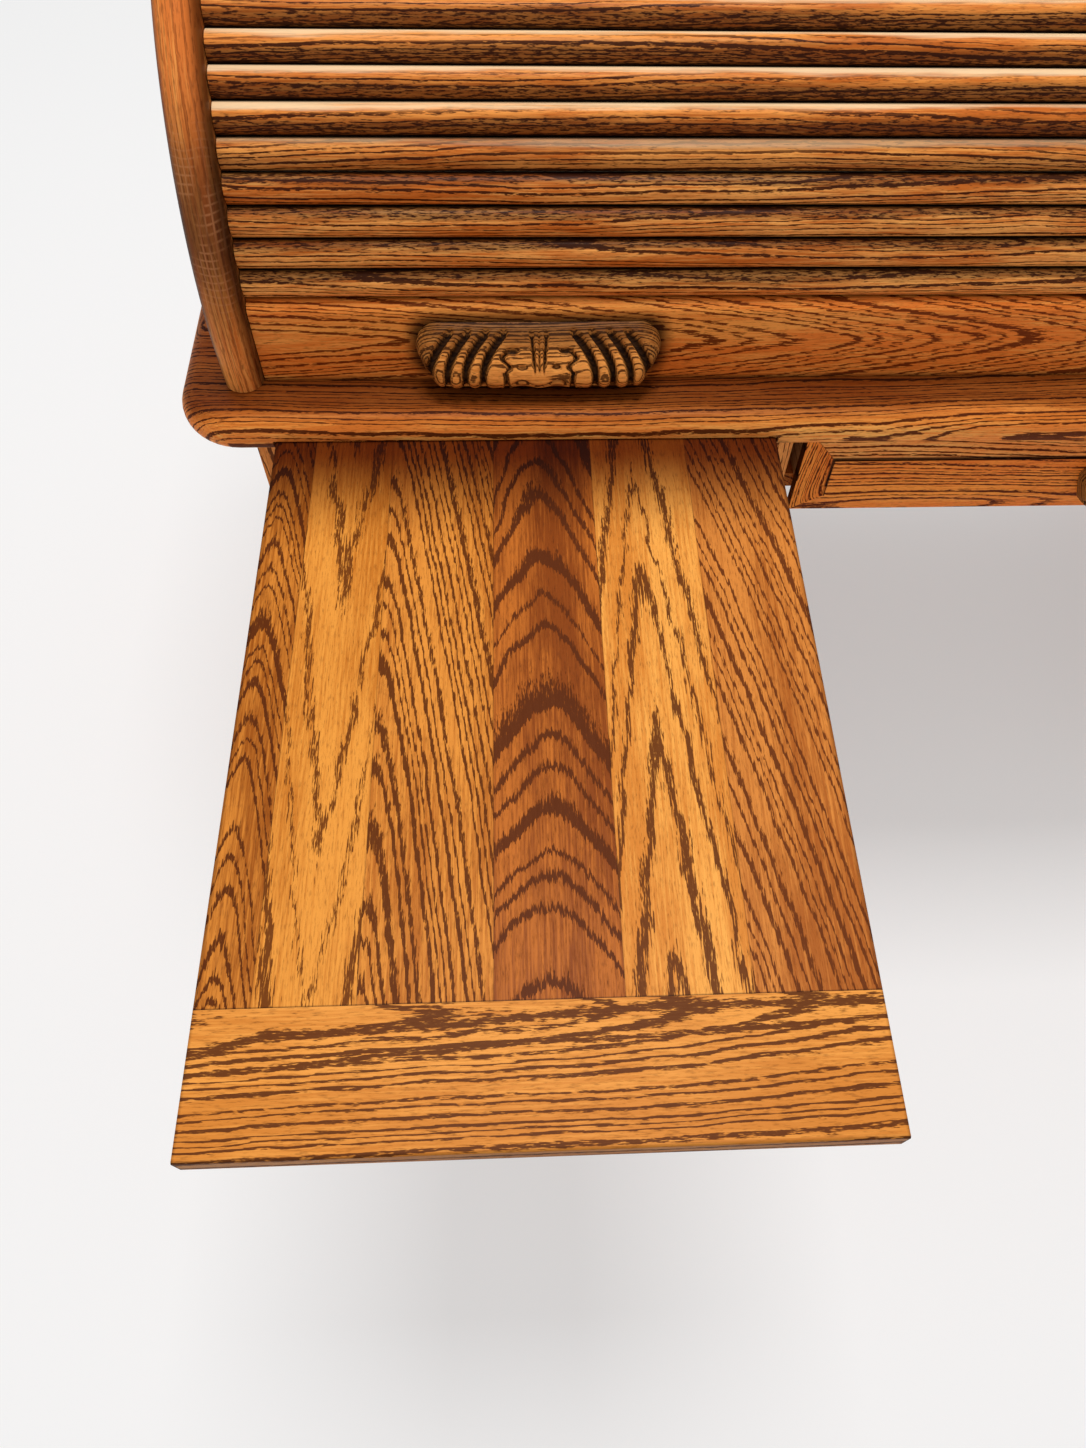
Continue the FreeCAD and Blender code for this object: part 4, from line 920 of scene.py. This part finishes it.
# %% Build one pull
def carve_pull(name, width, turn, seed):
    half = width / 2
    last = int((half - END_FLUTE_INSET) // FLUTE_PITCH)
    steps = round(width / SKIN_STEP)
    count = len(SECTION)
    skin = bmesh.new()
    upright = Matrix.Rotation(math.pi / 2, 4, "Z") @ Matrix.Rotation(math.pi / 2, 4, "X")
    bmesh.ops.create_circle(skin, segments=count, radius=1.0,
                            matrix=Matrix.Translation((-1, 0, 0)) @ upright)
    ring = list(skin.edges)
    for _ in range(steps):
        made = bmesh.ops.extrude_edge_only(skin, edges=ring)["geom"]
        ring = [part for part in made if isinstance(part, bmesh.types.BMEdge)
                and all(vertex in made for vertex in part.verts)]
        moved = [part for part in made if isinstance(part, bmesh.types.BMVert)]
        bmesh.ops.translate(skin, verts=moved, vec=(2.0 / steps, 0, 0))
    glaze = skin.verts.layers.float.new("glaze")
    board = skin.verts.layers.float_vector.new("board")
    core = Vector((-8.0, -6.0))
    for vertex in skin.verts:
        share = vertex.co.x
        number = round(math.atan2(vertex.co.z, vertex.co.y) / math.tau * count) % count
        y, z = SECTION[number]
        reach = half_width(z, half)
        x = share * reach
        in_hollow = abs(share) * (half - TAPER) < half - HOLLOW_END
        if number >= CARVED and y < -1 and z > -PULL_HALF_HEIGHT and not in_hollow:
            z = -PULL_HALF_HEIGHT
            x = share * half_width(z, half)
        depth = 0.0
        if number < CARVED:
            depth = cut_depth(abs(x), down_the_belly(number), last)
            inwards = (core - Vector((y, z))).normalized() * depth
            y, z = y + inwards.x, z + inwards.y
        rest = max(0.0, abs(share) * reach - (reach - END_ROUND)) / END_ROUND
        y *= max(THIN_END, math.sqrt(max(0.0, 1 - rest * rest)))
        y = min(y, 0.0)
        vertex.co = (x, y, z)
        # dark in the cuts, and darker towards the two ends
        vertex[glaze] = max(min(1.0, depth / FULL_GLAZE), 0.6 * ease(abs(x), half - 24, half - 6))
        vertex[board] = (x / 1000 + seed, y / 1000, z / 1000)
    bmesh.ops.holes_fill(skin, edges=skin.edges, sides=0)
    bmesh.ops.remove_doubles(skin, verts=skin.verts, dist=0.01)
    bmesh.ops.dissolve_degenerate(skin, edges=skin.edges, dist=0.002)
    bmesh.ops.triangulate(skin, faces=[face for face in skin.faces if len(face.verts) > 4])
    bmesh.ops.recalc_face_normals(skin, faces=skin.faces)
    bmesh.ops.scale(skin, vec=(0.001, 0.001, 0.001), verts=skin.verts)
    bmesh.ops.transform(skin, matrix=turn, verts=skin.verts)
    for face in skin.faces:
        face.smooth = True
    mesh = bpy.data.meshes.new(name)
    skin.to_mesh(mesh)
    skin.free()
    mesh.set_sharp_from_angle(angle=math.radians(60))
    pull = bpy.data.objects.new(name, mesh)
    bpy.context.scene.collection.objects.link(pull)
    return pull


# %% [markdown]
# The oak of a pull is finer than the boards', with its lines across the belly, so that each crest
# shows a nest of small arches where the gouge has rounded it. The glaze is black in the cuts and
# worn off the crests, where fingers take hold.

# %% Finish of the pulls
def pull_oak(name):
    start = new_material(name)[0]
    x, y, z = start.node("Attribute", {"attribute_name": "board"}, output=1).parts("SeparateXYZ")
    glaze = start.node("Attribute", {"attribute_name": "glaze"}, output=2)
    drift, climb = slow_drift(x, 0.05, 0.21, 0.4)
    log = Log(0.004, 0.070, 0.0023, comb=0.010, sway=0.004, width=0.46, seed=3.3)
    figure = oak_figure(x, z, y, drift, climb, log)
    colour = oak_colour(figure, tone(250, 164, 80), tone(214, 126, 52), tone(70, 32, 8), 0.88)
    top = soft_step(z, 0.000, 0.019)
    shade = larger(glaze * 0.97, top * 0.70)
    return oak_surface(name, figure, colour, shade=shade)


# %% [markdown]
# Nine pulls, each carved to the length of the plain block that it takes over from. A drawer's pull
# stands upright on its front. A roll pull leans back with the lift rail, so it is placed by the
# rail's angle round the middle of the track.

# %% Put the pulls in place
ROLL_PULL_DROP = 0.0022
PULL_NODES = sorted(node for node in NODES if node.endswith("_pull"))
carved = pull_oak("carved oak")
for index, node in enumerate(PULL_NODES):
    low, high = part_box(node)
    width = round((high[0] - low[0]) * 1000, 3)
    x = (low[0] + high[0]) / 2
    if "roll" in node:
        body = "roll"
        lift = -ROLL_PULL_DROP
        y = TRACK_Y + lift * math.sin(RAIL_LEAN) - CROWN_RADIUS * math.cos(RAIL_LEAN)
        z = TRACK_Z + lift * math.cos(RAIL_LEAN) + CROWN_RADIUS * math.sin(RAIL_LEAN)
        turn = Matrix.Translation((x, y, z)) @ Matrix.Rotation(-RAIL_LEAN, 4, "X")
    else:
        body = node.replace("_pull", "")
        turn = Matrix.Translation((x, high[1], (low[2] + high[2]) / 2))
    pull = carve_pull(f"carved_{node}", width, turn, index * 1.7)
    pull.data.materials.append(carved)
    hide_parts(node)
    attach(pull, body)
print(len(PULL_NODES), "pulls, the last with", len(pull.data.polygons), "faces")

# %% [markdown]
# ## Giving every board its finish
# One material goes on each node, and nodes of the same kind of wood share one. The boards of the
# left and right halves differ by their seed, because they come from different logs.

# %% Assign the finishes
def dress(node, material):
    """Put one material on every slot of a node."""
    mesh = NODES[node].data
    mesh.materials.clear()
    mesh.materials.append(material)


box_wood = mixed_oak("drawer box wood", "y", tone(218, 180, 128), tone(198, 156, 104), tone(150, 110, 70),
                     0.5, coat=0.0, ring=0.009)
case_oak = mixed_oak("pigeonhole oak", "x")
dress("slats", slat_oak("slat oak"))
dress("lift_rail", lift_rail_oak("lift rail oak"))
dress("canvas", canvas_cloth("canvas"))
dress("desktop", desktop_oak("desktop oak"))
for node in ("deck", "roll_back", "modesty_panel"):
    dress(node, plain_oak(node, "x", width=0.14, seed=len(node) * 1.0))
for node in ("organiser_case", "organiser_partitions"):
    dress(node, case_oak)
dress("centre_drawer_ledges", mixed_oak("ledge oak", "y"))
PLAIN_PIECES = {"slide_tail": "x", "bottom_board": "y", "inner_side": "z", "back_board": "z"}
for side, seed in (("left", 0.3), ("right", 0.9)):
    dress(f"{side}_slide_boards", stave_oak(f"{side} stave oak", side, seed))
    dress(f"{side}_slide_end_rail", end_rail_oak(f"{side} end rail oak", side, 0.004, seed + 1.0))
    dress(f"{side}_gable", gable_oak(f"{side} gable oak", side, seed + 2.0))
    dress(f"{side}_front_frame", framed_oak(f"{side}_front_frame", 0, 0.023))
    dress(f"{side}_side_frame", framed_oak(f"{side}_side_frame", 1, 0.070))
    dress(f"{side}_side_panels", panel_oak(f"{side}_side_panels"))
    dress(f"{side}_plinth", plinth_oak(f"{side}_plinth"))
    for piece, grain in PLAIN_PIECES.items():
        node = f"{side}_{piece}"
        dress(node, plain_oak(node, grain, seed=seed + len(piece)))
    dress(f"{side}_runners", box_wood)
for node in NODES:
    if node.endswith("drawer_front"):
        dress(node, front_oak(f"{node} oak", node))
    elif node.endswith("drawer_box"):
        dress(node, box_wood)

# %% [markdown]
# ## Floor, light and camera
# A pale room with one broad soft lamp overhead: it lights the top faces and the rounded tops of the
# slats, and leaves the faces that look down in shade. The floor is diffuse for the light, so it keeps
# the desk's shadow, and part of what the camera sees of it is its own plain white.

# %% Floor
def make_floor(reach=14.0, plain_share=0.42):
    mesh = bpy.data.meshes.new("floor")
    sheet = bmesh.new()
    bmesh.ops.create_grid(sheet, x_segments=1, y_segments=1, size=reach)
    sheet.to_mesh(mesh)
    sheet.free()
    floor = bpy.data.objects.new("floor", mesh)
    bpy.context.scene.collection.objects.link(floor)
    material = bpy.data.materials.new("pale floor")
    material.use_nodes = True
    tree = material.node_tree
    shader = tree.nodes["Principled BSDF"]
    shader.inputs["Base Color"].default_value = (0.95, 0.95, 0.95, 1.0)
    shader.inputs["Roughness"].default_value = 0.9
    shader.inputs["Specular IOR Level"].default_value = 0.1
    seen = Wire(tree.nodes.new("ShaderNodeLightPath").outputs["Is Camera Ray"])
    plain = seen.node("Emission", None, {"Color": (1.0, 1.0, 1.0, 1.0), "Strength": 1.0})
    both = seen.node("MixShader", None, {0: seen * plain_share, 1: Wire(shader.outputs[0]), 2: plain})
    tree.links.new(both.socket, tree.nodes["Material Output"].inputs["Surface"])
    mesh.materials.append(material)


make_floor()


# %% [markdown]
# The walls of a pale room light a desk from every side, so the world gives a plain even light. The
# lamp is a wide sheet: a small one would throw hard shadows and sharp glints on the varnish.

# %% Light
def make_light():
    world = bpy.data.worlds.new("white room")
    bpy.context.scene.world = world
    world.use_nodes = True
    tree = world.node_tree
    room = tree.nodes["Background"]
    room.inputs["Color"].default_value = (1.0, 1.0, 1.0, 1.0)
    room.inputs["Strength"].default_value = 0.52
    seen = Wire(tree.nodes.new("ShaderNodeLightPath").outputs["Is Camera Ray"])
    plain = seen.node("Background", None, {"Color": (1.0, 1.0, 1.0, 1.0), "Strength": 0.9})
    both = seen.node("MixShader", None, {0: seen, 1: Wire(room.outputs[0]), 2: plain})
    tree.links.new(both.socket, tree.nodes["World Output"].inputs["Surface"])
    lamp = bpy.data.lights.new("overhead", "AREA")
    lamp.shape = "RECTANGLE"
    lamp.size, lamp.size_y = 1.8, 1.4
    lamp.energy = 112.0
    holder = bpy.data.objects.new("overhead", lamp)
    holder.location = (-0.40, 0.38, 5.0)
    bpy.context.scene.collection.objects.link(holder)


make_light()


# %% [markdown]
# The camera hangs over the drawn slide and looks steeply down, as a person does who stands at the
# desk's left. A small shift of the lens sets the frame without turning the view.

# %% Camera
def make_camera():
    """The camera looks steeply down at the drawn slide, with a small shift."""
    tilt, roll, heading = (math.radians(angle) for angle in (29.953, 2.618, -4.417))
    turn = (Matrix.Rotation(heading, 4, "Z") @ Matrix.Rotation(tilt, 4, "X")
            @ Matrix.Rotation(roll, 4, "Z"))
    data = bpy.data.cameras.new("camera")
    data.sensor_width = 36.0
    data.lens = 25.503
    data.shift_x = -0.01793
    data.shift_y = 0.02310
    camera = bpy.data.objects.new("camera", data)
    camera.matrix_world = Matrix.Translation((-0.60237, -0.71871, 1.30191)) @ turn
    bpy.context.scene.collection.objects.link(camera)
    bpy.context.scene.camera = camera


make_camera()
bpy.context.scene.view_settings.view_transform = "Standard"
